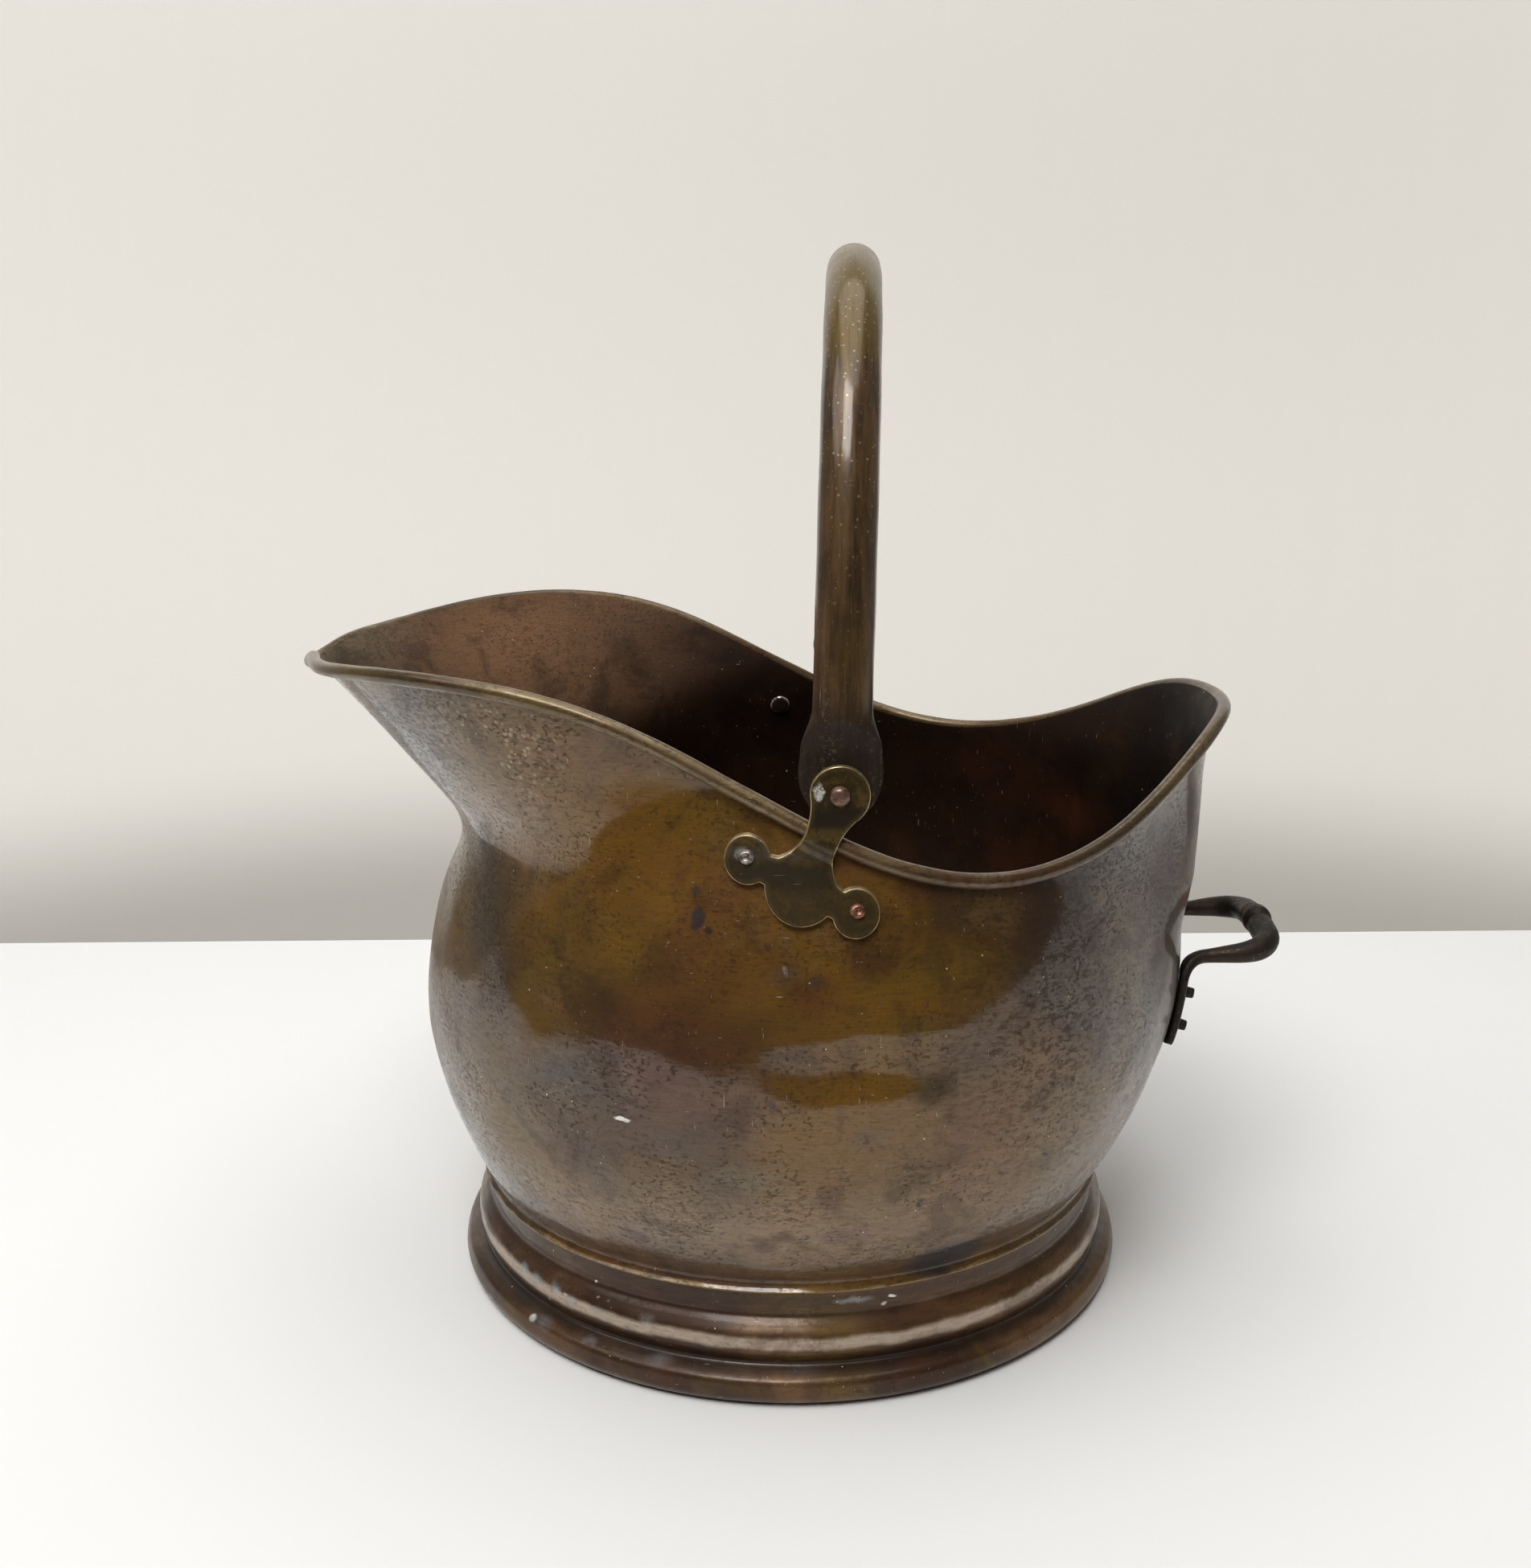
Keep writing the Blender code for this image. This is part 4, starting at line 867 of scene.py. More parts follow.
        walls = [np.stack(corners, axis=1) for corners in halves]
        faces = np.concatenate([triangles[:, ::-1], triangles + total, *walls])
        mesh = mesh_from_arrays("lug", np.concatenate([back, front]), faces)
        paint_points(mesh, "edge", np.concatenate([distance, distance]))
        return crisp(merged(mesh), 55.0)

    def pivot_point(self, side: Side, inwards: float) -> Array:
        """Point on the pivot axis, so far inwards of the head's inner face."""
        return np.array([self.pivot_x, side.value * (self.head_side - inwards), self.pivot_height])

    def rivet_seats(self, side: Side) -> list[Seat]:
        """Seat on the wall under each ear's middle."""
        seats = []
        for across in (-self.ear_spacing / 2.0, self.ear_spacing / 2.0):
            x, height = self.place(np.array(across), np.array(0.0))
            wall = float(self.bowl.side_of_wall(x, height))
            seats.append(self.bowl.seat(side.value * math.atan2(wall, -float(x)), float(height)))
        return seats


class Head(Enum):
    """Shapes of a rivet's outer head, as (share of radius, share of height) rows."""

    DOME = ((0.0, 1.0), (0.25, 0.99), (0.5, 0.93), (0.72, 0.80), (0.9, 0.56), (0.99, 0.22), (1.0, 0.0))
    DIMPLED = (
        (0.0, 0.52), (0.2, 0.58), (0.38, 0.86), (0.55, 1.0),
        (0.74, 0.92), (0.92, 0.6), (1.0, 0.25), (1.0, 0.0),
    )
    STUB = ((0.0, 1.0), (0.45, 1.0), (0.72, 0.98), (0.88, 0.92), (0.97, 0.82), (1.0, 0.6), (1.0, 0.0))


@dataclass
class Rivet:
    """Rivet with an outer head, a shank and a low inner head."""

    shank: float
    radius: float
    rise: float
    head: Head
    inner_radius: float = 0.0032
    inner_rise: float = 0.0012
    grip: float = 0.0
    oval: float = 0.035
    three_sided: float = 0.02
    shrunk: float = 0.05
    steps: int = 28

    def build(self, name: str, point: Array, direction: Array, seed: int) -> bpy.types.Mesh:
        """Mesh turned about its own axis, then set at a point along a direction.

        The heads are a little out of round: their radius swells and shrinks by a few
        hundredths with two and three waves a turn.

        Args:
            name: name of the mesh.
            point: place of the inner head's flat side.
            direction: unit vector towards the outer head.
            seed: picks where the heads swell.

        Returns:
            The mesh, with the number "inner" kept at the points of its inner head.
        """
        outer = [(self.radius * across, self.grip + self.rise * up) for across, up in self.head.value]
        low_dome = ((1.0, 0.0), (0.97, 0.35), (0.8, 0.72), (0.45, 0.95), (0.0, 1.0))
        inner = [(self.inner_radius * across, -self.inner_rise * down) for across, down in low_dome]
        profile = np.array([*outer, (self.shank, self.grip), (self.shank, 0.0), *inner])
        mesh = turned_mesh(name, profile, self.steps)
        points = np.array([tuple(vertex.co) for vertex in mesh.vertices])
        turn = np.arctan2(points[:, 1], points[:, 0])
        swell = 1.0 + self.oval * np.sin(2.0 * turn + seed)
        swell = swell + self.three_sided * np.sin(3.0 * turn + 2.0 * seed) - self.shrunk
        near_head = smooth_step((points[:, 2] - self.grip * 0.999) / (self.rise * 0.02))
        points[:, :2] *= (1.0 + (swell - 1.0) * near_head)[:, None]
        reach = np.hypot(points[:, 0], points[:, 1])
        under = (points[:, 2] < self.grip * 0.5) & ((reach > self.shank * 1.05) | (points[:, 2] < -1e-5))
        paint_points(mesh, "inner", np.where(under, 1.0 + reach / self.inner_radius, 0.0))
        turned = np.array(Vector(list(map(float, direction))).to_track_quat("Z", "Y").to_matrix())
        points = points @ turned.T + point
        mesh.vertices.foreach_set("co", points.astype(np.float32).ravel())
        mesh.update()
        return crisp(mesh)


def oval_sections(
    centre: Array, across: Array, through: Array, width: Array, depth: Array, power: Array, sides: int
) -> Array:
    """Sections between an ellipse, power 2, and a rounded box, higher powers.

    Each point is the centre plus width / 2 * sign(cos) |cos|^(2 / power) across and
    depth / 2 * sign(sin) |sin|^(2 / power) through.

    Args:
        centre: middle of each section.
        across: unit vector along the width of each.
        through: unit vector along the depth of each.
        width: full widths.
        depth: full depths.
        power: 2 for an ellipse, more for a squarer section.
        sides: corners of a section.

    Returns:
        Array of (section, corner, xyz).
    """
    cosine, sine = np.cos(circle(sides))[None, :], np.sin(circle(sides))[None, :]
    exponent = 2.0 / power[:, None]
    reach = width[:, None] / 2.0 * np.sign(cosine) * np.abs(cosine) ** exponent
    rise = depth[:, None] / 2.0 * np.sign(sine) * np.abs(sine) ** exponent
    return centre[:, None, :] + reach[..., None] * across[:, None, :] + rise[..., None] * through[:, None, :]


def along_path(path: Array, wanted: Array) -> tuple[Array, Array]:
    """Points and unit tangents of a path at given distances along it."""
    place = travelled(path)
    return sampled(path, place, wanted), unit(sampled(np.gradient(path, axis=0), place, wanted))


def with_mirror(half: Array) -> Array:
    """Sections of a near half, then of its mirror image without the one they share."""
    return np.concatenate([half, half[-2::-1] * np.array([1.0, -1.0, 1.0])])


def cut_round_holes(mesh: bpy.types.Mesh, seats: list[Seat], radius: float, depth: float) -> bpy.types.Mesh:
    """The mesh with a round hole through it at each seat, by an exact Boolean.

    Args:
        mesh: closed mesh.
        seats: place and direction of each hole.
        radius: radius of the holes.
        depth: a third of the length of the bar that cuts.

    Returns:
        The cut mesh.
    """
    body = new_object("body", mesh)
    bar = Rivet(radius, radius, depth, Head.STUB, radius, depth, grip=depth)
    for point, direction in seats:
        modifier = body.modifiers.new("hole", "BOOLEAN")
        modifier.operation = "DIFFERENCE"
        modifier.solver = "EXACT"
        modifier.object = new_object("cutter", bar.build("bar", point, direction, 0))
    bpy.context.view_layer.update()
    seen = body.evaluated_get(bpy.context.evaluated_depsgraph_get())
    cut = bpy.data.meshes.new_from_object(seen)
    for item in [modifier.object for modifier in body.modifiers] + [body]:
        bpy.data.objects.remove(item, do_unlink=True)
    return cut


EYE_THICKNESS = 0.0040


@dataclass
class Bail:
    """Tube bent into a squarish arch, flattened into an eye at each end."""

    lug: Lug
    tube: float = 0.01905
    rise: float = 0.1652
    narrowing: float = 0.04
    corner_power: float = 3.0
    lean: float = math.radians(1.2)
    eye_width: float = 0.0270
    eye_thickness: float = EYE_THICKNESS
    eye_drop: float = 0.0097
    eye_widest: float = 0.0067
    eye_taper: float = 0.04
    eye_swell: float = 0.15
    eye_power: float = 5.0
    crease: float = 0.0130
    neck: float = 0.0270
    hole: float = 0.0026
    uneven: float = 0.006
    wave: float = 190.0

    def flat_rows(self) -> tuple[Array, Array, Array, Array]:
        """Height above the pivot, width, thickness and power of the eye's sections.

        The tip is round, sqrt(1 - (1 - s)^2); above the crease the plate swells into
        the tube with level ends.
        """
        tip = np.linspace(0.0, 1.0, 26) ** 1.6
        height = -self.eye_drop + (self.eye_drop + self.eye_widest) * tip
        width = np.maximum(self.eye_width * np.sqrt(1.0 - (1.0 - tip) ** 2), self.eye_thickness * 0.35)
        plate = 7
        share = np.linspace(0.0, 1.0, plate + 1)[1:]
        height = np.append(height, self.eye_widest + (self.crease - self.eye_widest) * share)
        width = np.append(width, self.eye_width * (1.0 - self.eye_taper * share))
        thickness = np.full(len(height), self.eye_thickness)
        thickness[-plate:] *= 1.0 + self.eye_swell * share**2
        power = np.full(len(height), self.eye_power)
        power[-plate:] -= share
        share = np.linspace(0.0, 1.0, 30)[1:]
        ease = smooth_step(share)
        height = np.append(height, self.crease + (self.neck - self.crease) * share)
        narrow = self.eye_width * (1.0 - self.eye_taper)
        width = np.append(width, narrow + (self.tube - narrow) * ease)
        start = self.eye_thickness * (1.0 + self.eye_swell)
        thickness = np.append(thickness, start + (self.tube - start) * ease**0.62)
        power = np.append(power, self.eye_power - 1.0 - (self.eye_power - 3.0) * ease)
        return height, width, thickness, power

    def half(self) -> Array:
        """Sections from the near eye's tip to the crown, upright and about the pivot.

        The arch is a superellipse, |y / w|^3 + |z / h|^3 = 1, that narrows upwards.
        """
        half_span = self.lug.head_side - self.lug.gap - self.eye_thickness / 2.0
        angle = np.linspace(0.0, math.pi / 2.0, 800)
        rise = np.sin(angle) ** (2.0 / self.corner_power)
        spread = np.cos(angle) ** (2.0 / self.corner_power) * (1.0 - self.narrowing * rise)
        path = np.stack([np.zeros(len(angle)), -half_span * spread, self.rise * rise], axis=1)
        length = travelled(path)[-1]
        height, width, thickness, power = self.flat_rows()
        arch = np.linspace(self.neck, length, 110)[1:]
        wanted = np.concatenate([np.maximum(height, 0.0), arch])
        centre, along = along_path(path, wanted)
        centre[: len(height), 2] += np.minimum(height, 0.0)
        full = np.full(len(arch), self.tube)
        width = np.append(width, full * (1.0 - self.uneven * (1.0 + np.sin(arch * self.wave))))
        thickness = np.append(thickness, full)
        power = np.append(power, np.full(len(arch), 2.0))
        across = np.tile([1.0, 0.0, 0.0], (len(wanted), 1))
        through = unit(np.cross(along, across))
        through[: len(height)] = [0.0, 1.0, 0.0]
        blend = smooth_step((wanted - self.crease) / (self.neck - self.crease))[:, None]
        through = unit(through * blend + np.array([0.0, 1.0, 0.0]) * (1.0 - blend))
        sections = oval_sections(centre, across, through, width, thickness, power, 40)
        sections[-1, :, 1] = 0.0
        return sections

    def build(self) -> bpy.types.Mesh:
        """Mesh of both halves, tilted back by the lean and set on the pivot axis."""
        sections = with_mirror(self.half())
        cosine, sine = math.cos(self.lean), math.sin(self.lean)
        x, z = sections[..., 0].copy(), sections[..., 2].copy()
        sections[..., 0] = x * cosine + z * sine + self.lug.pivot_x
        sections[..., 2] = z * cosine - x * sine + self.lug.pivot_height
        mesh = tube_mesh("bail", sections)
        eyes = [(self.lug.pivot_point(side, 2.0 * self.eye_thickness), side.outwards) for side in Side]
        mesh = cut_round_holes(mesh, eyes, self.hole, 1.5 * self.eye_thickness)
        mesh.shade_smooth()
        return crisp(mesh, 45.0)


@dataclass
class LoopHandle:
    """Forged bar with flat tabs riveted to the back and a ringed knop in its grip."""

    bowl: Bowl
    half_spacing: float = 0.0290
    tab_bottom: float = 0.0959
    tab_width: float = 0.0150
    tab_thickness: float = 0.0034
    tab_length: float = 0.0350
    standoff: float = 0.03248
    grip_rise: float = 0.0065
    bend: float = 0.0080
    corner: float = 0.0150
    leg: float = 0.0056
    corner_size: float = 0.0090
    grip: float = 0.0100
    knop: float = 0.0118
    groove: float = 0.0086
    groove_at: float = 0.0046
    shoulder_at: float = 0.0064
    rivet_shares: tuple[float, float] = (0.614, 0.243)
    gap: float = 0.0003
    forging: tuple[Point, ...] = ((0.018, 260.0, 0.0), (0.012, 611.0, 1.0))

    @property
    def leg_height(self) -> float:
        """Height where the tabs bend out into the legs."""
        return self.tab_bottom + self.tab_length

    def rivet_heights(self) -> list[float]:
        """Heights of the upper and the lower rivets."""
        return [self.tab_bottom + self.tab_length * share for share in self.rivet_shares]

    def tab_turn(self) -> float:
        """Turn of the far tab's middle line."""
        reach = float(self.bowl.wall(np.array(math.pi), np.array(self.rivet_heights()[0])))
        return math.pi - math.asin(self.half_spacing / reach)

    def tab_point(self, height: float) -> Array:
        """Middle of the near tab's thickness at a height."""
        point, normal = self.bowl.seat(-self.tab_turn(), height)
        return point + normal * (self.gap + self.tab_thickness / 2.0)

    def rivet_seats(self) -> list[Seat]:
        """Seats of the four rivets: near tab first, upper rivets first."""
        turn = self.tab_turn()
        return [self.bowl.seat(side.value * turn, height) for side in Side for height in self.rivet_heights()]

    @staticmethod
    def rounded(corners: list[Array], radii: list[float], count: int) -> Array:
        """Straight runs whose inner corners are parabolas from one run to the next."""
        pieces = [corners[0][None, :]]
        for before, corner, after, radius in zip(corners[:-2], corners[1:-1], corners[2:], radii):
            start = corner + unit(before - corner) * radius
            end = corner + unit(after - corner) * radius
            share = np.linspace(0.0, 1.0, count)[:, None]
            first = start + (corner - start) * share
            second = corner + (end - corner) * share
            pieces.append(first + (second - first) * share)
        pieces.append(corners[-1][None, :])
        return np.concatenate(pieces)

    def half(self) -> Array:
        """Sections from the near tab's tip to the middle of the knop."""
        heights = np.linspace(self.tab_bottom, self.leg_height - self.bend, 9)
        low = [self.tab_point(float(height)) for height in heights]
        grip_x = float(self.bowl.wall(np.array(math.pi), np.array(self.leg_height))) + self.standoff
        top = self.leg_height + self.grip_rise
        corners = [
            low[-1],
            self.tab_point(self.leg_height),
            np.array([grip_x, -self.half_spacing, (self.leg_height + top) / 2.0]),
            np.array([grip_x, 0.0, top]),
        ]
        bent = self.rounded(corners, [self.bend * 0.96, self.corner], 48)
        path = np.concatenate([np.array(low[:-1]), bent])
        length = travelled(path)[-1]
        tab = self.leg_height - self.tab_bottom - self.bend
        leg_start, corner_start = tab + 2.0 * self.bend, length - 2.0 * self.corner
        round_end = self.tab_width / 2.0
        wanted = np.concatenate(
            [
                round_end * np.linspace(0.0, 1.0, 16) ** 1.7,
                np.linspace(round_end, length - self.shoulder_at, 110)[1:],
                np.linspace(length - self.shoulder_at, length, 22)[1:],
            ]
        )
        stops = [tab, leg_start, corner_start, length - self.corner, length - self.shoulder_at]
        sizes = [self.tab_thickness, self.leg, self.corner_size, self.grip, self.grip]
        stops += [length - self.groove_at * share for share in (1.0, 0.62, 0.4, 0.0)]
        sizes += [self.groove, (self.groove + self.knop) / 2.0, self.knop, self.knop]
        thickness = np.interp(wanted, stops, sizes)
        thickness = np.convolve(np.pad(thickness, 2, mode="edge"), np.ones(5) / 5.0, mode="valid")
        flat = 1.0 - smooth_step((wanted - tab) / (leg_start - tab))
        width = thickness + (self.tab_width - thickness) * flat
        tip = np.sqrt(np.clip(1.0 - (1.0 - np.minimum(wanted / round_end, 1.0)) ** 2, 0.0, 1.0))
        rounded = np.maximum(self.tab_width * tip, self.tab_thickness * 0.4)
        width = np.where(wanted < round_end, rounded, width)
        centre, along = along_path(path, wanted)
        normal = self.bowl.wall_normal(-self.tab_turn(), self.tab_bottom)
        across = np.empty_like(centre)
        last = np.cross(along[0], normal)
        for row, tangent in enumerate(along):
            last = unit(last - tangent * np.dot(last, tangent))
            across[row] = last
        through = np.cross(along, across)
        uneven = 1.0
        for depth, rate, phase in self.forging:
            uneven = uneven + depth * np.sin(wanted * rate + phase)
        sections = oval_sections(centre, across, through, width * uneven, thickness, 2.0 + 3.0 * flat, 24)
        sections[-1, :, 1] = 0.0
        return sections

    def build(self) -> bpy.types.Mesh:
        """Mesh of both halves, joined in the plane of symmetry."""
        return crisp(tube_mesh("loop_handle", with_mirror(self.half())))


@dataclass(frozen=True)
class ColourPatch:
    """Patch of a colour on a surface, used for stains and for painted light: where, how large, how strong and
    how soft.
    """

    place: Point
    size: Point
    colour: Colour
    strength: float = 0.8
    soft: float = 0.5


@dataclass(frozen=True)
class Band:
    """Level band of a colour round a piece, between two heights."""

    low: float
    high: float
    colour: Colour
    strength: float = 0.6
    soft: float = 0.001


MIX_FIRST, MIX_SECOND, MIX_COLOUR = 6, 7, 2


class Graph:
    """Shader nodes of one material, added by short calls that return their outputs."""

    def __init__(self, name: str) -> None:
        """Start a material with its Principled shader and Object coordinates."""
        self.material = bpy.data.materials.new(name)
        self.material.use_nodes = True
        self.tree = self.material.node_tree
        self.shader = self.tree.nodes["Principled BSDF"]
        self.place = self.node("TexCoord", "Object")

    def plug(self, socket: Socket, value: Value) -> None:
        """Link an output to a socket, or set the socket to a number, a vector or a colour."""
        if isinstance(value, bpy.types.NodeSocket):
            self.tree.links.new(value, socket)
        elif isinstance(value, tuple) and socket.type == "RGBA":
            socket.default_value = (*value[:3], 1.0)
        else:
            socket.default_value = value

    def node(self, kind: str, output: str | int, inputs: dict | None = None, **choices: str) -> Socket:
        """Output of a new node.

        Args:
            kind: node type, without its "ShaderNode".
            output: name or number of the output.
            inputs: value or output for some of its inputs, by name or number.
            choices: the node's own settings.

        Returns:
            The output.
        """
        node = self.tree.nodes.new("ShaderNode" + kind)
        for name, choice in choices.items():
            setattr(node, name, choice)
        for name, value in (inputs or {}).items():
            self.plug(node.inputs[name], value)
        return node.outputs[output]

    def math(self, operation: str, *values: Value) -> Socket:
        """Output of a Math node of up to three values."""
        return self.node("Math", 0, dict(enumerate(values)), operation=operation)

    def both(self, *shares: Value) -> Socket:
        """Product of several shares."""
        return reduce(lambda total, share: self.math("MULTIPLY", total, share), shares)

    def highest(self, *shares: Value) -> Socket:
        """Largest of several shares."""
        return reduce(lambda total, share: self.math("MAXIMUM", total, share), shares)

    def span(self, value: Value, low: float, high: float, start: float = 0.0, end: float = 1.0) -> Socket:
        """Smooth rise from start to end while the value goes from low to high."""
        inputs = dict(enumerate((value, low, high, start, end)))
        return self.node("MapRange", 0, inputs, interpolation_type="SMOOTHSTEP")

    def blend(self, colour: Value, *coats: tuple[Value, Value]) -> Socket:
        """Colour with others laid over it in turn, each given with its share."""
        for over, share in coats:
            inputs = {0: share, MIX_FIRST: colour, MIX_SECOND: over}
            colour = self.node("Mix", MIX_COLOUR, inputs, data_type="RGBA")
        return colour

    def laid(self, scale: Point, turn: Point = (0.0, 0.0, 0.0)) -> Socket:
        """Object coordinates turned in radians, then stretched."""
        return self.node("Mapping", 0, {"Vector": self.place, "Rotation": turn, "Scale": scale})

    def noise(
        self, scale: float, detail: float = 4.0, rough: float = 0.55, bend: float = 0.0,
        place: Socket | None = None,
    ) -> Socket:
        """Noise between 0 and 1, with so many patterns a metre."""
        inputs = {"Scale": scale, "Detail": detail, "Roughness": rough, "Distortion": bend}
        return self.node("TexNoise", 0, {"Vector": place or self.place, **inputs})

    def specks(self, scale: float, size: float) -> Socket:
        """Scattered round specks: 1 within a share of each cell's middle."""
        distance = self.node("TexVoronoi", "Distance", {"Vector": self.place, "Scale": scale})
        return self.span(distance, size, size * 0.4)

    def scratches(self, scale: float, *ways: tuple[Point, Point, float, float]) -> Socket:
        """Short straight scratches: the peaks of noises stretched and turned, each from low to high."""
        lines = [
            self.span(self.noise(scale, 2.0, 0.5, 0.0, self.laid(stretch, turn)), low, high)
            for stretch, turn, low, high in ways
        ]
        return self.highest(*lines)

    def axis(self, name: str) -> Socket:
        """One coordinate of the place."""
        return self.node("SeparateXYZ", name, {0: self.place})

    def painted(self, name: str) -> Socket:
        """Number kept at the points of the mesh."""
        return self.node("Attribute", "Fac", attribute_name=name)

    def spot(self, centre: Point, size: Point, soft: float = 0.5, place: Socket | None = None) -> Socket:
        """1 inside an ellipsoid of half sizes, falling to 0 at its surface."""
        inputs = {"Vector": place or self.place, "Location": centre, "Scale": size}
        local = self.node("Mapping", 0, inputs, vector_type="TEXTURE")
        return self.span(self.node("VectorMath", "Value", {0: local}, operation="LENGTH"), 1.0, 1.0 - soft)

    def ragged(self, amount: float, scale: float) -> Socket:
        """Object coordinates pushed about by noise, for uneven edges of stains."""
        push = self.node("TexNoise", "Color", {"Vector": self.place, "Scale": scale, "Detail": 3.0})
        start = self.node("VectorMath", 0, {0: self.place, 1: (-0.5 * amount,) * 3}, operation="ADD")
        return self.node("VectorMath", 0, {0: push, 1: (amount,) * 3, 2: start}, operation="MULTIPLY_ADD")

    def bump(self, *layers: tuple[Value, float]) -> Socket:
        """Normal of a surface raised by heights in turn, each with its depth in metres."""
        under = {}
        for height, depth in layers:
            normal = self.node("Bump", 0, {"Strength": 1.0, "Distance": depth, "Height": height, **under})
            under = {"Normal": normal}
        return normal

    def finish(
        self, colour: Value, metal: Value, rough: Value, normal: Socket, coat: Value = 0.0,
        coat_rough: float = 0.1, coat_index: float = 1.5,
    ) -> bpy.types.Material:
        """Plug everything into the shader.

        Args:
            colour: base colour.
            metal: share of bare metal.
            rough: roughness under the lacquer.
            normal: normal of the surface and of its lacquer.
            coat: weight of the lacquer.
            coat_rough: its roughness.
            coat_index: its index of refraction.

        Returns:
            The material.
        """
        inputs = {"Base Color": colour, "Metallic": metal, "Roughness": rough, "Normal": normal}
        inputs["Specular IOR Level"] = 0.25
        if coat != 0.0:
            inputs |= {"Coat Weight": coat, "Coat Roughness": coat_rough}
            inputs |= {"Coat IOR": coat_index, "Coat Normal": normal}
        for name, value in inputs.items():
            self.plug(self.shader.inputs[name], value)
        return self.material

    def band(self, height: Value, band: Band) -> tuple[Colour, Socket]:
        """Colour of a level band and its share at a height."""
        rise = self.span(height, band.low - band.soft, band.low + band.soft)
        fall = self.span(height, band.high + band.soft, band.high - band.soft)
        return band.colour, self.both(rise, fall, band.strength)

    def colour_patch(self, colour_patch: ColourPatch, place: Socket, *breaks: Socket) -> tuple[Colour, Socket]:
        """Colour of a patch and its share, at pushed places and through its breaks."""
        mask = self.spot(colour_patch.place, colour_patch.size, colour_patch.soft, place)
        return colour_patch.colour, self.both(mask, *breaks, colour_patch.strength)

    def glow(self, colour: Value, strength: Value) -> None:
        """Make the material a matt paint that glows with its own colour."""
        inputs = {"Base Color": colour, "Roughness": 0.9, "Specular IOR Level": 0.1}
        inputs |= {"Emission Color": colour, "Emission Strength": strength}
        for name, value in inputs.items():
            self.plug(self.shader.inputs[name], value)


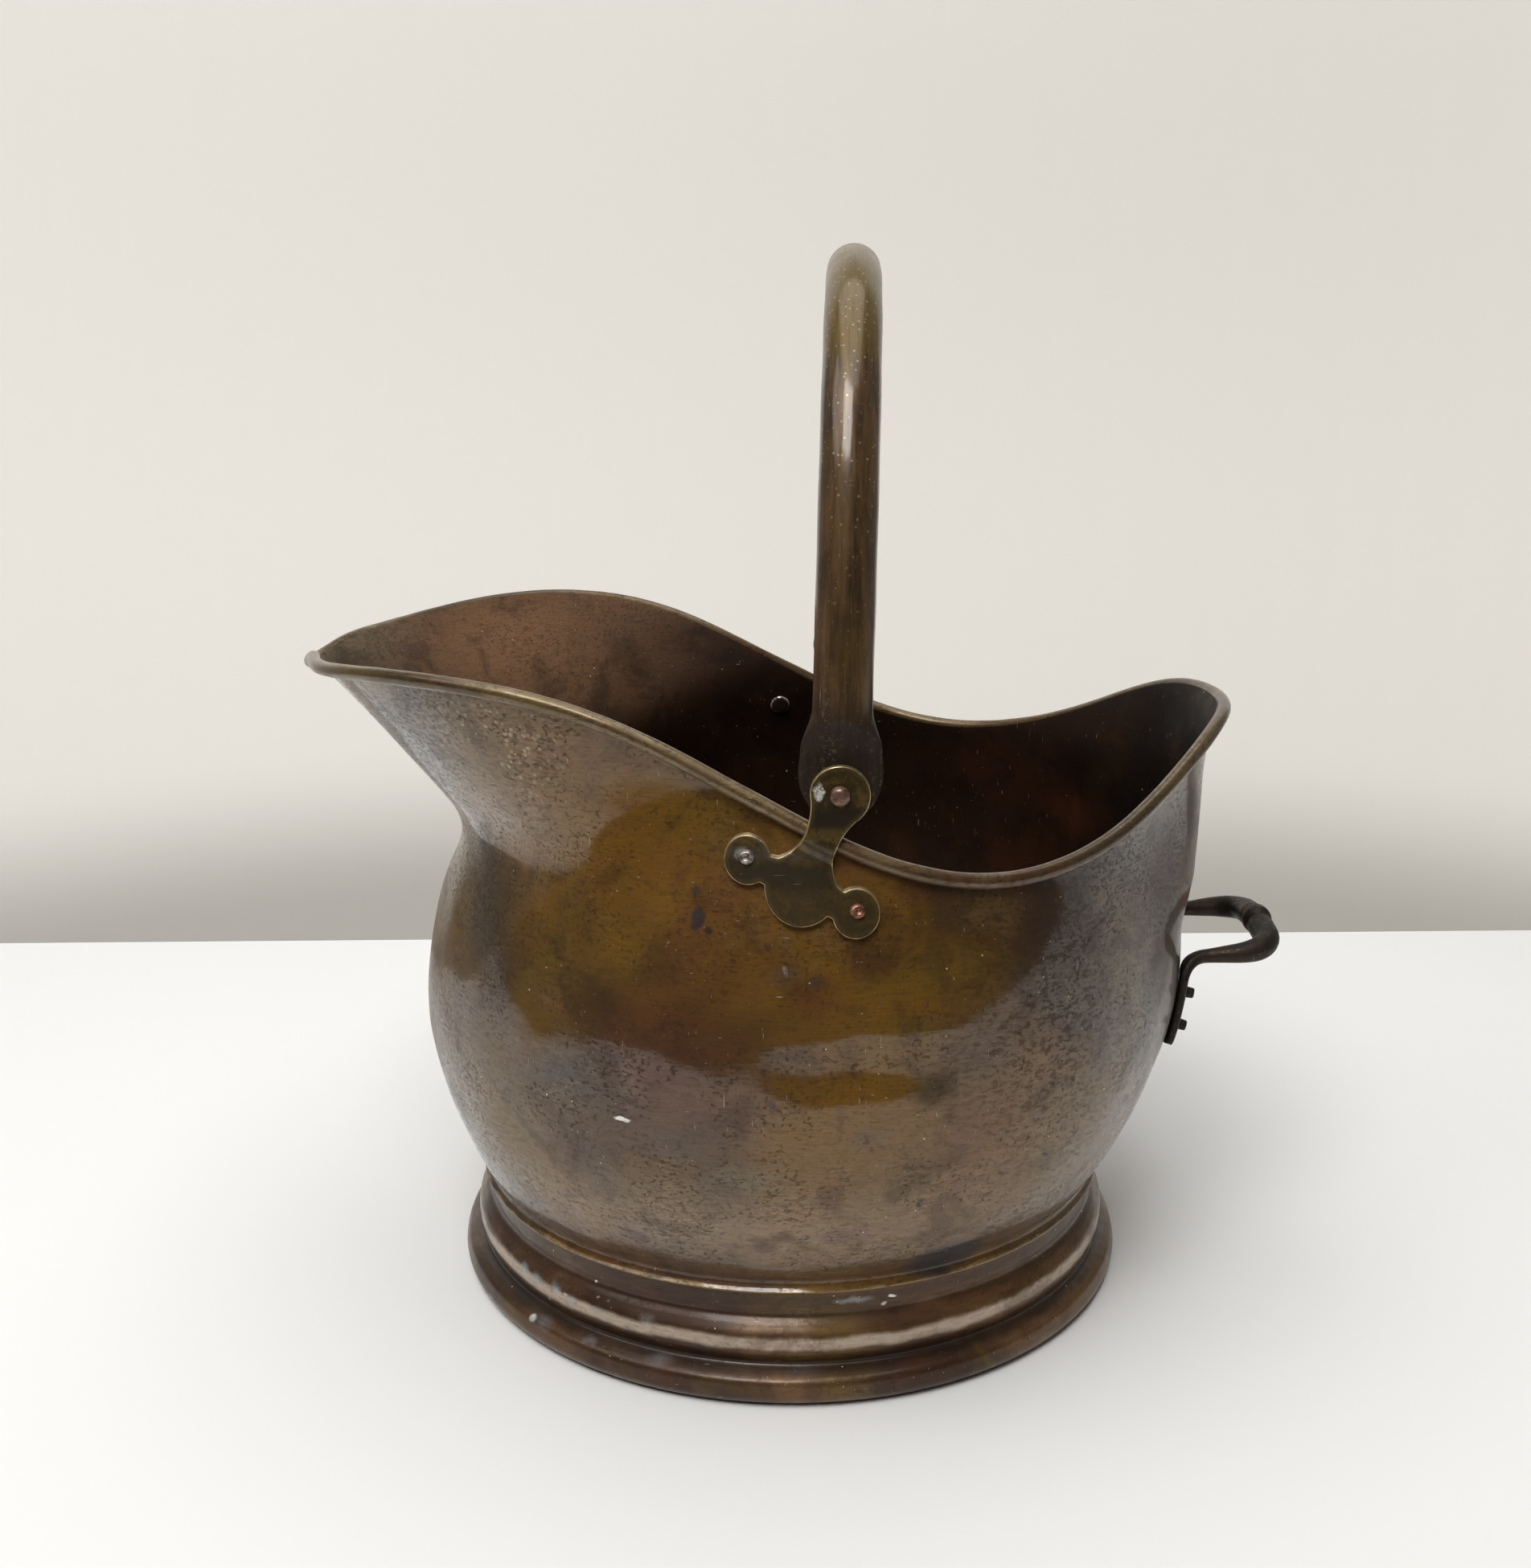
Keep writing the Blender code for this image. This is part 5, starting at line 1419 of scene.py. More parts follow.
BOWL_MARKS_AND_LIGHT: tuple[ColourPatch, ...] = (
    # Painted reflection: this first, large pale warm patch lightens the lower belly where it mirrors the
    # bright table.
    ColourPatch((-0.0100, -0.1350, 0.0680), (0.1300, 0.0650, 0.0320), (0.34, 0.24, 0.14), 0.6, 1.0),
    ColourPatch((-0.1071, -0.0883, 0.1606), (0.0232, 0.0236, 0.0266), (0.028, 0.014, 0.008), 0.7, 1.0),
    ColourPatch((0.0122, -0.1470, 0.1573), (0.0153, 0.0112, 0.0113), (0.1, 0.03, 0.01), 0.6, 1.0),
    ColourPatch((-0.0539, -0.1302, 0.1669), (0.0218, 0.0190, 0.0180), (0.21, 0.11, 0.008), 0.6, 1.0),
    ColourPatch((-0.0718, -0.1295, 0.1239), (0.0176, 0.0137, 0.0110), (0.1, 0.075, 0.065), 0.5, 1.0),
    ColourPatch((-0.0253, -0.1367, 0.1797), (0.0030, 0.0056, 0.0046), (0.03, 0.025, 0.03), 0.9, 0.4),
    ColourPatch((-0.0260, -0.1336, 0.1881), (0.0019, 0.0055, 0.0027), (0.03, 0.025, 0.028), 0.7, 0.6),
    ColourPatch((-0.0220, -0.1386, 0.1762), (0.0017, 0.0056, 0.0021), (0.02, 0.015, 0.015), 0.8, 0.5),
    ColourPatch((-0.0526, -0.1387, 0.1318), (0.0038, 0.0056, 0.0024), (0.05, 0.032, 0.02), 0.6, 0.6),
    ColourPatch((-0.0039, -0.1501, 0.1324), (0.0016, 0.0060, 0.0016), (0.045, 0.018, 0.012), 0.7, 0.5),
    ColourPatch((-0.0020, -0.1504, 0.1262), (0.0018, 0.0060, 0.0016), (0.05, 0.02, 0.015), 0.6, 0.6),
    ColourPatch((-0.0007, -0.1504, 0.1211), (0.0021, 0.0060, 0.0019), (0.05, 0.022, 0.02), 0.7, 0.5),
    ColourPatch((0.0032, -0.1453, 0.1648), (0.0010, 0.0058, 0.0025), (0.4, 0.36, 0.3), 0.7, 0.6),
    ColourPatch((0.0032, -0.1456, 0.1634), (0.0087, 0.0059, 0.0061), (0.06, 0.048, 0.045), 0.45, 1.0),
    ColourPatch((0.0140, -0.1459, 0.1619), (0.0046, 0.0058, 0.0038), (0.03, 0.025, 0.032), 0.55, 0.9),
    ColourPatch((-0.0513, -0.1392, 0.1098), (0.0037, 0.0057, 0.0010), (0.9, 0.9, 0.85), 1.0, 0.4),
    ColourPatch((0.0585, -0.1130, 0.0485), (0.0235, 0.0150, 0.0105), (0.028, 0.032, 0.042), 0.85, 0.5),
    ColourPatch((-0.0493, -0.1250, 0.0602), (0.0076, 0.0058, 0.0039), (0.08, 0.026, 0.018), 0.7, 0.6),
    ColourPatch((-0.0041, -0.1352, 0.0614), (0.0071, 0.0054, 0.0039), (0.09, 0.03, 0.02), 0.6, 0.6),
    ColourPatch((0.0479, -0.1352, 0.0791), (0.0026, 0.0054, 0.0029), (0.05, 0.025, 0.028), 0.7, 0.6),
    ColourPatch((-0.0089, -0.1463, 0.0925), (0.0199, 0.0087, 0.0087), (0.17, 0.15, 0.075), 0.5, 1.0),
    ColourPatch((-0.0589, -0.1208, 0.1888), (0.0180, 0.0164, 0.0158), (0.2, 0.085, 0.01), 0.5, 1.0),
    ColourPatch((0.0322, -0.1423, 0.1681), (0.0179, 0.0107, 0.0105), (0.075, 0.022, 0.008), 0.6, 1.0),
    ColourPatch((-0.0220, -0.1282, 0.2101), (0.0212, 0.0156, 0.0154), (0.17, 0.1, 0.01), 0.5, 1.0),
    ColourPatch((0.0689, -0.1283, 0.1813), (0.0259, 0.0147, 0.0115), (0.16, 0.1, 0.035), 0.5, 1.0),
    ColourPatch((0.1210, -0.0945, 0.1507), (0.0251, 0.0251, 0.0424), (0.17, 0.12, 0.07), 0.6, 1.0),
    ColourPatch((0.1153, -0.1020, 0.1270), (0.0195, 0.0195, 0.0259), (0.12, 0.08, 0.085), 0.4, 1.0),
    ColourPatch((0.0258, -0.1359, 0.0672), (0.0242, 0.0081, 0.0073), (0.19, 0.1, 0.085), 0.45, 1.0),
    ColourPatch((-0.0294, -0.1301, 0.0581), (0.0140, 0.0061, 0.0043), (0.2, 0.14, 0.06), 0.4, 0.9),
    ColourPatch((-0.0980, -0.0906, 0.0589), (0.0055, 0.0055, 0.0031), (0.03, 0.02, 0.015), 0.7, 0.6),
    ColourPatch((-0.0883, -0.0989, 0.0571), (0.0047, 0.0048, 0.0030), (0.03, 0.02, 0.015), 0.7, 0.6),
    ColourPatch((0.0306, -0.1470, 0.1079), (0.0104, 0.0071, 0.0070), (0.05, 0.04, 0.045), 0.35, 1.0),
    ColourPatch((-0.0351, -0.1436, 0.1023), (0.0189, 0.0096, 0.0085), (0.07, 0.055, 0.05), 0.4, 1.0),
    ColourPatch((-0.0718, -0.1296, 0.1208), (0.0187, 0.0174, 0.0166), (0.14, 0.12, 0.1), 0.35, 1.0),
    ColourPatch((0.0716, -0.1279, 0.1785), (0.0028, 0.0054, 0.0020), (0.05, 0.03, 0.015), 0.6, 0.6),
    ColourPatch((0.0880, -0.1211, 0.1710), (0.0034, 0.0051, 0.0017), (0.05, 0.03, 0.015), 0.6, 0.6),
    ColourPatch((0.0801, -0.1281, 0.1594), (0.0038, 0.0054, 0.0023), (0.05, 0.035, 0.025), 0.5, 0.7),
    ColourPatch((0.0680, -0.1370, 0.1370), (0.0330, 0.0300, 0.0330), (0.055, 0.034, 0.020), 0.65, 1.0),
    ColourPatch((0.0514, -0.1431, 0.1237), (0.0107, 0.0098, 0.0097), (0.045, 0.03, 0.012), 0.75, 0.8),
)


FOOT_MARKS: tuple[ColourPatch, ...] = (
    ColourPatch((-0.0968, -0.0849, 0.0239), (0.0045, 0.0046, 0.0032), (0.34, 0.36, 0.37), 0.85, 1.0),
    ColourPatch((-0.0911, -0.0911, 0.0233), (0.0050, 0.0050, 0.0036), (0.34, 0.36, 0.37), 0.85, 1.0),
    ColourPatch((-0.0827, -0.0986, 0.0239), (0.0046, 0.0044, 0.0031), (0.34, 0.36, 0.37), 0.85, 1.0),
    ColourPatch((-0.0763, -0.1040, 0.0221), (0.0045, 0.0042, 0.0027), (0.34, 0.35, 0.36), 0.8, 1.0),
    ColourPatch((-0.0645, -0.1116, 0.0227), (0.0063, 0.0049, 0.0031), (0.3, 0.3, 0.29), 0.4, 1.0),
    ColourPatch((-0.0466, -0.1197, 0.0245), (0.0044, 0.0044, 0.0034), (0.36, 0.35, 0.33), 0.45, 0.9),
    ColourPatch((-0.0922, -0.0963, 0.0102), (0.0025, 0.0025, 0.0020), (0.72, 0.73, 0.72), 0.9, 0.6),
    ColourPatch((-0.0849, -0.0968, 0.0191), (0.0013, 0.0014, 0.0007), (0.7, 0.7, 0.65), 0.6, 0.8),
    ColourPatch((-0.0784, -0.1021, 0.0239), (0.0012, 0.0014, 0.0007), (0.7, 0.7, 0.65), 0.6, 0.8),
    ColourPatch((-0.0656, -0.1082, 0.0275), (0.0009, 0.0014, 0.0006), (0.7, 0.7, 0.65), 0.6, 0.8),
    ColourPatch((-0.0610, -0.1112, 0.0270), (0.0009, 0.0014, 0.0007), (0.7, 0.7, 0.65), 0.6, 0.8),
    ColourPatch((-0.0666, -0.1046, 0.0308), (0.0009, 0.0013, 0.0006), (0.7, 0.7, 0.7), 0.9, 0.5),
    ColourPatch((0.0056, -0.1288, 0.0233), (0.0008, 0.0018, 0.0011), (0.4, 0.4, 0.38), 0.6, 0.8),
    ColourPatch((-0.0876, -0.0999, 0.0106), (0.0069, 0.0064, 0.0036), (0.2, 0.21, 0.23), 0.5, 1.0),
    ColourPatch((-0.0682, -0.1123, 0.0116), (0.0044, 0.0036, 0.0019), (0.28, 0.28, 0.29), 0.5, 0.9),
    ColourPatch((-0.0420, -0.1239, 0.0119), (0.0076, 0.0040, 0.0023), (0.22, 0.23, 0.24), 0.5, 1.0),
    ColourPatch((0.0085, -0.1296, 0.0124), (0.0112, 0.0033, 0.0022), (0.05, 0.06, 0.075), 0.5, 1.0),
    ColourPatch((0.0269, -0.1214, 0.0356), (0.0106, 0.0037, 0.0019), (0.42, 0.43, 0.43), 0.55, 0.9),
    ColourPatch((0.0400, -0.1177, 0.0356), (0.0020, 0.0019, 0.0009), (0.85, 0.85, 0.8), 1.0, 0.5),
    ColourPatch((0.0373, -0.1184, 0.0332), (0.0013, 0.0018, 0.0009), (0.8, 0.8, 0.78), 0.8, 0.6),
    ColourPatch((0.0524, -0.1123, 0.0308), (0.0108, 0.0064, 0.0034), (0.16, 0.08, 0.035), 0.6, 1.0),
    ColourPatch((0.0400, -0.1178, 0.0297), (0.0040, 0.0027, 0.0015), (0.03, 0.015, 0.012), 0.6, 0.8),
    ColourPatch((-0.0735, -0.1050, 0.0168), (0.0032, 0.0031, 0.0020), (0.16, 0.08, 0.02), 0.5, 1.0),
    ColourPatch((0.0084, -0.1282, 0.0174), (0.0185, 0.0038, 0.0026), (0.12, 0.08, 0.02), 0.5, 1.0),
    ColourPatch((0.0029, -0.1337, 0.0097), (0.0007, 0.0017, 0.0009), (0.25, 0.18, 0.08), 0.7, 0.5),
)


INSIDE_MARKS: tuple[ColourPatch, ...] = (
    ColourPatch((-0.120, 0.080, 0.240), (0.125, 0.115, 0.070), (0.24, 0.125, 0.060), 0.9, 1.0),
    ColourPatch((-0.170, 0.000, 0.268), (0.070, 0.090, 0.050), (0.30, 0.23, 0.15), 0.8, 1.0),
    ColourPatch((-0.055, 0.115, 0.262), (0.065, 0.050, 0.030), (0.22, 0.11, 0.05), 0.75, 0.9),
    ColourPatch((0.120, 0.080, 0.160), (0.030, 0.040, 0.022), (0.085, 0.024, 0.008), 0.6, 1.0),
    ColourPatch((0.090, 0.100, 0.110), (0.022, 0.030, 0.026), (0.075, 0.020, 0.007), 0.5, 1.0),
    ColourPatch((0.145, 0.030, 0.120), (0.020, 0.030, 0.030), (0.080, 0.024, 0.008), 0.5, 1.0),
)


@dataclass(frozen=True)
class Patina:
    """Aged sheet brass under old clear lacquer: browned, clouded, brushed and spotted, with bands and
    patches, some of which are painted light and shade.
    """

    name: str
    deep: Colour
    warm: Colour
    pale: Colour
    olive: Colour = (0.13, 0.085, 0.008)
    red: Colour = (0.12, 0.040, 0.010)
    fleck: Colour = (0.020, 0.012, 0.007)
    crumb: Colour = (0.42, 0.34, 0.22)
    gold: Colour = (0.75, 0.58, 0.30)
    white: Colour = (0.80, 0.77, 0.68)
    bare: Colour = (0.55, 0.50, 0.42)
    metal: float = 0.3
    rough: float = 0.46
    coat: float = 1.0
    coat_rough: float = 0.09
    coat_index: float = 1.5
    dull: float = 0.85
    fleck_share: float = 0.52
    smudge: float = 0.45
    pale_share: float = 0.25
    cloud_pitch: float = 9.0
    patches: tuple[ColourPatch, ...] = ()
    bands: tuple[Band, ...] = ()
    spotted: Region | None = None
    sprinkled: Region | None = None
    bald: tuple[Region, ...] = ()

    def clouds(self, graph: Graph, other: Socket, patch: Socket) -> Socket:
        """Browns, olive, red and pale places that run into each other."""
        return graph.blend(
            self.deep,
            (self.warm, graph.span(graph.noise(self.cloud_pitch, 3.0, 0.5, 0.4), 0.38, 0.60)),
            (self.olive, graph.span(other, 0.52, 0.72, 0.0, 0.55)),
            (self.red, graph.span(other, 0.47, 0.3, 0.0, 0.6)),
            (self.pale, graph.both(graph.span(patch, 0.5, 0.75), self.pale_share)),
        )

    def marks(self, graph: Graph, colour: Socket) -> Socket:
        """The colour with the bands, then the patches, each with a ragged edge; some of them are painted
        highlight, reflection and shade.
        """
        ragged = graph.ragged(0.004, 160.0)
        if self.bands:
            shift = graph.span(graph.noise(60.0, 3.0), 0.3, 0.7, -0.0006, 0.0006)
            height = graph.math("ADD", graph.axis("Z"), shift)
            colour = graph.blend(colour, *(graph.band(height, band) for band in self.bands))
        return graph.blend(colour, *(graph.colour_patch(colour_patch, ragged) for colour_patch in self.patches))

    def flecks(self, graph: Graph, brush: Socket, patch: Socket) -> Socket:
        """Share of dull dark strokes, camouflage and dots, thickest in the spotted place."""
        mottle = graph.noise(380.0, 3.0, 0.65, 0.2, graph.laid((0.8, 0.8, 1.6)))
        dots = graph.noise(620.0, 2.0, 0.5, 0.0, graph.laid((1.0, 1.0, 1.4)))
        thick = graph.span(patch, 0.46, 0.66, 0.14, 0.70)
        if self.spotted:
            thick = graph.highest(thick, graph.both(graph.spot(*self.spotted, 0.9), 0.85))
        strokes = graph.both(graph.span(brush, 0.54, 0.66), graph.span(patch, 0.38, 0.6), 0.7)
        spotty = graph.both(graph.span(mottle, 0.50, 0.60), thick)
        pits = graph.both(graph.span(dots, 0.575, 0.625), graph.span(patch, 0.38, 0.56, 0.4, 1.0))
        return graph.highest(strokes, spotty, pits)

    def weight(self, graph: Graph, dull: Socket, lines: Socket, smudge: Socket) -> Socket:
        """Weight of the lacquer, less where it is dull, brushed, smudged or bald."""
        weight = graph.both(
            graph.math("MULTIPLY_ADD", dull, -self.dull * self.coat, self.coat),
            graph.span(lines, 0.40, 0.66, 1.0, 0.78),
            graph.span(smudge, 0.0, 1.0, 1.0, 0.35),
        )
        for place, size in self.bald:
            weight = graph.both(weight, graph.span(graph.spot(place, size, 1.0), 0.0, 0.8, 1.0, 0.3))
        return weight

    def build(self) -> bpy.types.Material:
        """Material: clouds, marks with any painted light among them, dull flecks, brushed lines, specks and
        scratches.
        """
        graph = Graph(self.name)
        other = graph.noise(self.cloud_pitch * 1.7, 3.0, 0.55, 0.8)
        patch = graph.noise(38.0, 4.0, 0.6, 0.3)
        brush = graph.noise(150.0, 4.0, 0.65, 0.1, graph.laid((1.0, 1.0, 4.5)))
        lines = graph.noise(1500.0, 2.0, 0.6, 0.0, graph.laid((0.10, 0.10, 1.0)))
        dull = self.flecks(graph, brush, patch)
        smudge = graph.both(graph.span(graph.noise(52.0, 4.0, 0.62, 0.6), 0.48, 0.66), self.smudge)
        colour = graph.blend(
            self.marks(graph, self.clouds(graph, other, patch)),
            (self.deep, smudge),
            (self.fleck, graph.both(dull, self.fleck_share)),
            (self.fleck, graph.span(lines, 0.42, 0.70, 0.0, 0.22)),
        )
        if self.sprinkled:
            near = graph.spot(*self.sprinkled, 0.9)
            crumbs = graph.both(graph.specks(340.0, 0.36), near, graph.span(patch, 0.40, 0.52))
            colour = graph.blend(colour, (self.crumb, graph.both(crumbs, 0.8)))
        scratch = graph.scratches(
            1500.0,
            ((1.0, 1.0, 0.05), (0.25, 0.1, 0.0), 0.72, 0.80),
            ((0.05, 1.0, 1.0), (0.0, 0.5, 0.3), 0.73, 0.81),
        )
        gold = graph.both(graph.specks(150.0, 0.06), graph.span(other, 0.47, 0.56))
        colour = graph.blend(
            colour,
            (self.gold, graph.both(gold, 0.9)),
            (self.white, graph.both(graph.specks(64.0, 0.032), graph.span(patch, 0.42, 0.5))),
            (self.bare, graph.both(scratch, 0.6)),
        )
        rough = graph.span(patch, 0.3, 0.7, self.rough + 0.1, self.rough - 0.08)
        normal = graph.bump((brush, 0.000022), (lines, 0.000006), (dull, -0.000002), (scratch, -0.00002))
        weight = self.weight(graph, dull, lines, smudge)
        return graph.finish(colour, self.metal, rough, normal, weight, self.coat_rough, self.coat_index)


@dataclass(frozen=True)
class LugBrass:
    """Cast brass plate: golden olive face, darker neck, painted highlights at its bend over the bead, rubbed
    pale edges.
    """

    name: str = "lug_brass"
    olive: Colour = (0.042, 0.027, 0.009)
    gold: Colour = (0.115, 0.075, 0.021)
    dark: Colour = (0.028, 0.020, 0.014)
    edge: Colour = (0.60, 0.48, 0.27)
    bands_and_highlights: tuple[Band, ...] = (
        Band(0.1600, 0.1970, (0.055, 0.035, 0.013), 0.5, 0.0030),
        Band(0.1905, 0.1990, (0.022, 0.016, 0.010), 0.65, 0.0022),
        # Painted highlight: a pale blue-brown sheen on the bulge where the plate lies over the bead.
        Band(0.1995, 0.2032, (0.070, 0.058, 0.050), 0.5, 0.0012),
        # Painted highlight: a golden band where the plate bends over the bead.
        Band(0.2066, 0.2104, (0.125, 0.082, 0.024), 0.6, 0.0011),
        Band(0.2105, 0.2172, (0.022, 0.015, 0.011), 0.8, 0.0014),
    )
    solders: tuple[ColourPatch, ...] = (
        ColourPatch((0.0137, -0.139, 0.2222), (0.0019, 0.006, 0.0034), (0.8, 0.8, 0.75), 0.9, 0.4),
        ColourPatch((-0.0106, -0.138, 0.2012), (0.0034, 0.006, 0.0030), (0.55, 0.55, 0.50), 0.45, 0.6),
    )

    def build(self) -> bpy.types.Material:
        """Material: bands up the plate by height, two of them painted highlights, solder, then rubbed edges
        by distance.
        """
        graph = Graph(self.name)
        mottle = graph.noise(170.0, 4.0, 0.65)
        fine = graph.noise(800.0, 3.0, 0.6)
        height = graph.math("ADD", graph.axis("Z"), graph.span(mottle, 0.3, 0.7, -0.0004, 0.0004))
        distance = graph.painted("edge")
        ragged = graph.ragged(0.003, 500.0)
        solder = graph.span(fine, 0.35, 0.5)
        worn = graph.both(graph.span(distance, 0.00050, 0.00018), graph.span(mottle, 0.36, 0.56, 0.25, 1.0))
        scratch = graph.scratches(
            1700.0,
            ((1.0, 1.0, 0.07), (0.0, 0.7, 0.0), 0.68, 0.78),
            ((0.07, 1.0, 1.0), (0.0, 0.3, 0.0), 0.68, 0.78),
        )
        colour = graph.blend(
            self.olive,
            (self.gold, graph.span(mottle, 0.42, 0.66)),
            *(graph.band(height, band) for band in self.bands_and_highlights),
            (self.gold, graph.both(graph.span(distance, 0.0022, 0.0008), 0.4)),
            (self.dark, graph.span(fine, 0.52, 0.66, 0.0, 0.65)),
            *(graph.colour_patch(colour_patch, ragged, solder) for colour_patch in self.solders),
            (self.edge, worn),
            (self.gold, graph.both(scratch, 0.7)),
        )
        rough = graph.span(mottle, 0.35, 0.65, 0.46, 0.32)
        normal = graph.bump((mottle, 0.00006), (fine, 0.000015), (scratch, -0.00002))
        metal = graph.math("MULTIPLY_ADD", worn, 0.4, 0.45)
        return graph.finish(colour, metal, rough, normal, 0.3, 0.16)


@dataclass(frozen=True)
class BailBrass:
    """Brass tube browned by hands: dark with long streaks, golden and speckled on top."""

    name: str = "bail_brass"
    dark: Colour = (0.034, 0.020, 0.011)
    brown: Colour = (0.140, 0.075, 0.031)
    olive: Colour = (0.140, 0.092, 0.022)
    pale: Colour = (0.40, 0.31, 0.17)
    eye: Colour = (0.014, 0.010, 0.008)
    golden_from: float = 0.335
    golden_to: float = 0.380
    paddle_top: float = 0.249
    paddle_soft: float = 0.008

    def build(self) -> bpy.types.Material:
        """Material: streaks along the tube, gold towards the crown, a dull dark eye."""
        graph = Graph(self.name)
        height = graph.axis("Z")
        long_place = graph.laid((1.0, 0.16, 0.10))
        streak = graph.noise(430.0, 4.0, 0.6, 0.1, long_place)
        thin = graph.noise(1300.0, 2.0, 0.6, 0.0, graph.laid((1.0, 0.06, 0.04)))
        cloud = graph.noise(26.0, 4.0, 0.6, 0.4)
        fine = graph.noise(700.0, 3.0, 0.6)
        uneven = graph.span(cloud, 0.35, 0.65, -0.25, 0.25)
        top = graph.math("ADD", graph.span(height, self.golden_from, self.golden_to), uneven)
        top = graph.span(top, 0.2, 0.9)
        eye = graph.span(height, self.paddle_top + self.paddle_soft, self.paddle_top - self.paddle_soft)
        specks = graph.both(graph.specks(420.0, 0.22), graph.span(cloud, 0.40, 0.56))
        specks = graph.both(specks, graph.span(height, 0.25, 0.34, 0.12, 1.0))
        worn = graph.span(graph.noise(45.0, 2.0, 0.5, 0.0, long_place), 0.5, 0.62)
        rubbed = graph.both(graph.span(fine, 0.55, 0.7), worn)
        scratch = graph.scratches(
            1600.0,
            ((1.0, 1.0, 0.06), (0.35, 0.2, 0.0), 0.68, 0.78),
            ((0.08, 1.0, 1.0), (0.0, 0.9, 0.4), 0.70, 0.80),
        )
        colour = graph.blend(
            self.dark,
            (self.brown, graph.span(streak, 0.28, 0.72)),
            (self.olive, graph.both(graph.span(cloud, 0.45, 0.62), 0.35)),
            (self.olive, graph.both(top, 0.85)),
            (self.eye, graph.both(eye, 0.85)),
            (self.dark, graph.span(thin, 0.46, 0.66, 0.0, 0.35)),
            (self.pale, graph.both(specks, 0.8)),
            (self.pale, graph.both(rubbed, 0.3)),
            (self.pale, graph.both(scratch, 0.6)),
        )
        rough = graph.math("MULTIPLY_ADD", eye, 0.2, graph.span(cloud, 0.3, 0.7, 0.46, 0.32))
        normal = graph.bump((streak, 0.00004), (cloud, 0.00025), (fine, 0.00001))
        coat = graph.both(graph.span(eye, 0.0, 1.0, 0.8, 0.03), graph.span(top, 0.0, 1.0, 1.0, 0.5))
        return graph.finish(colour, 0.35, rough, normal, coat, 0.12)


@dataclass(frozen=True)
class Copper:
    """Copper rivets: hammered and browned heads, dark inside with a pale burr."""

    name: str = "copper"
    bright: Colour = (0.36, 0.165, 0.105)
    brown: Colour = (0.11, 0.042, 0.024)
    pit: Colour = (0.04, 0.018, 0.012)
    inner: Colour = (0.030, 0.018, 0.012)
    burr: Colour = (0.50, 0.48, 0.44)

    def build(self) -> bpy.types.Material:
        """Material: clouds of two coppers with fine pits."""
        graph = Graph(self.name)
        cloud = graph.noise(420.0, 4.0, 0.6)
        pits = graph.noise(1500.0, 2.0, 0.6)
        inner = graph.painted("inner")
        colour = graph.blend(
            self.brown,
            (self.bright, graph.span(cloud, 0.36, 0.56)),
            (self.pit, graph.span(pits, 0.56, 0.72, 0.0, 0.8)),
            (self.inner, graph.both(graph.span(inner, 0.5, 0.9), 0.9)),
            (self.burr, graph.both(graph.span(inner, 1.80, 1.90), graph.span(cloud, 0.40, 0.52))),
        )
        normal = graph.bump((cloud, 0.00012), (pits, 0.00003))
        return graph.finish(colour, 0.6, graph.span(cloud, 0.3, 0.7, 0.42, 0.26), normal, 0.3, 0.2)


@dataclass(frozen=True)
class Iron:
    """Forged iron browned by handling and rust."""

    name: str = "forged_iron"
    dark: Colour = (0.030, 0.026, 0.021)
    rust: Colour = (0.078, 0.046, 0.029)
    worn: Colour = (0.20, 0.17, 0.14)

    def build(self) -> bpy.types.Material:
        """Material: dark skin with rusty clouds, pits and rubbed high places."""
        graph = Graph(self.name)
        cloud = graph.noise(60.0, 5.0, 0.6, 0.5)
        pits = graph.noise(700.0, 4.0, 0.65)
        colour = graph.blend(
            self.dark,
            (self.rust, graph.span(cloud, 0.42, 0.66, 0.0, 0.8)),
            (self.worn, graph.span(pits, 0.58, 0.8, 0.0, 0.5)),
        )
        normal = graph.bump((cloud, 0.0003), (pits, 0.00006))
        return graph.finish(colour, 0.6, graph.span(pits, 0.35, 0.7, 0.62, 0.38), normal)


@dataclass(frozen=True)
class Lamp:
    """Square area lamp: name, place, what it faces, side in metres, watts and colour."""

    name: str
    place: Point
    target: Point
    size: float
    power: float
    colour: Colour


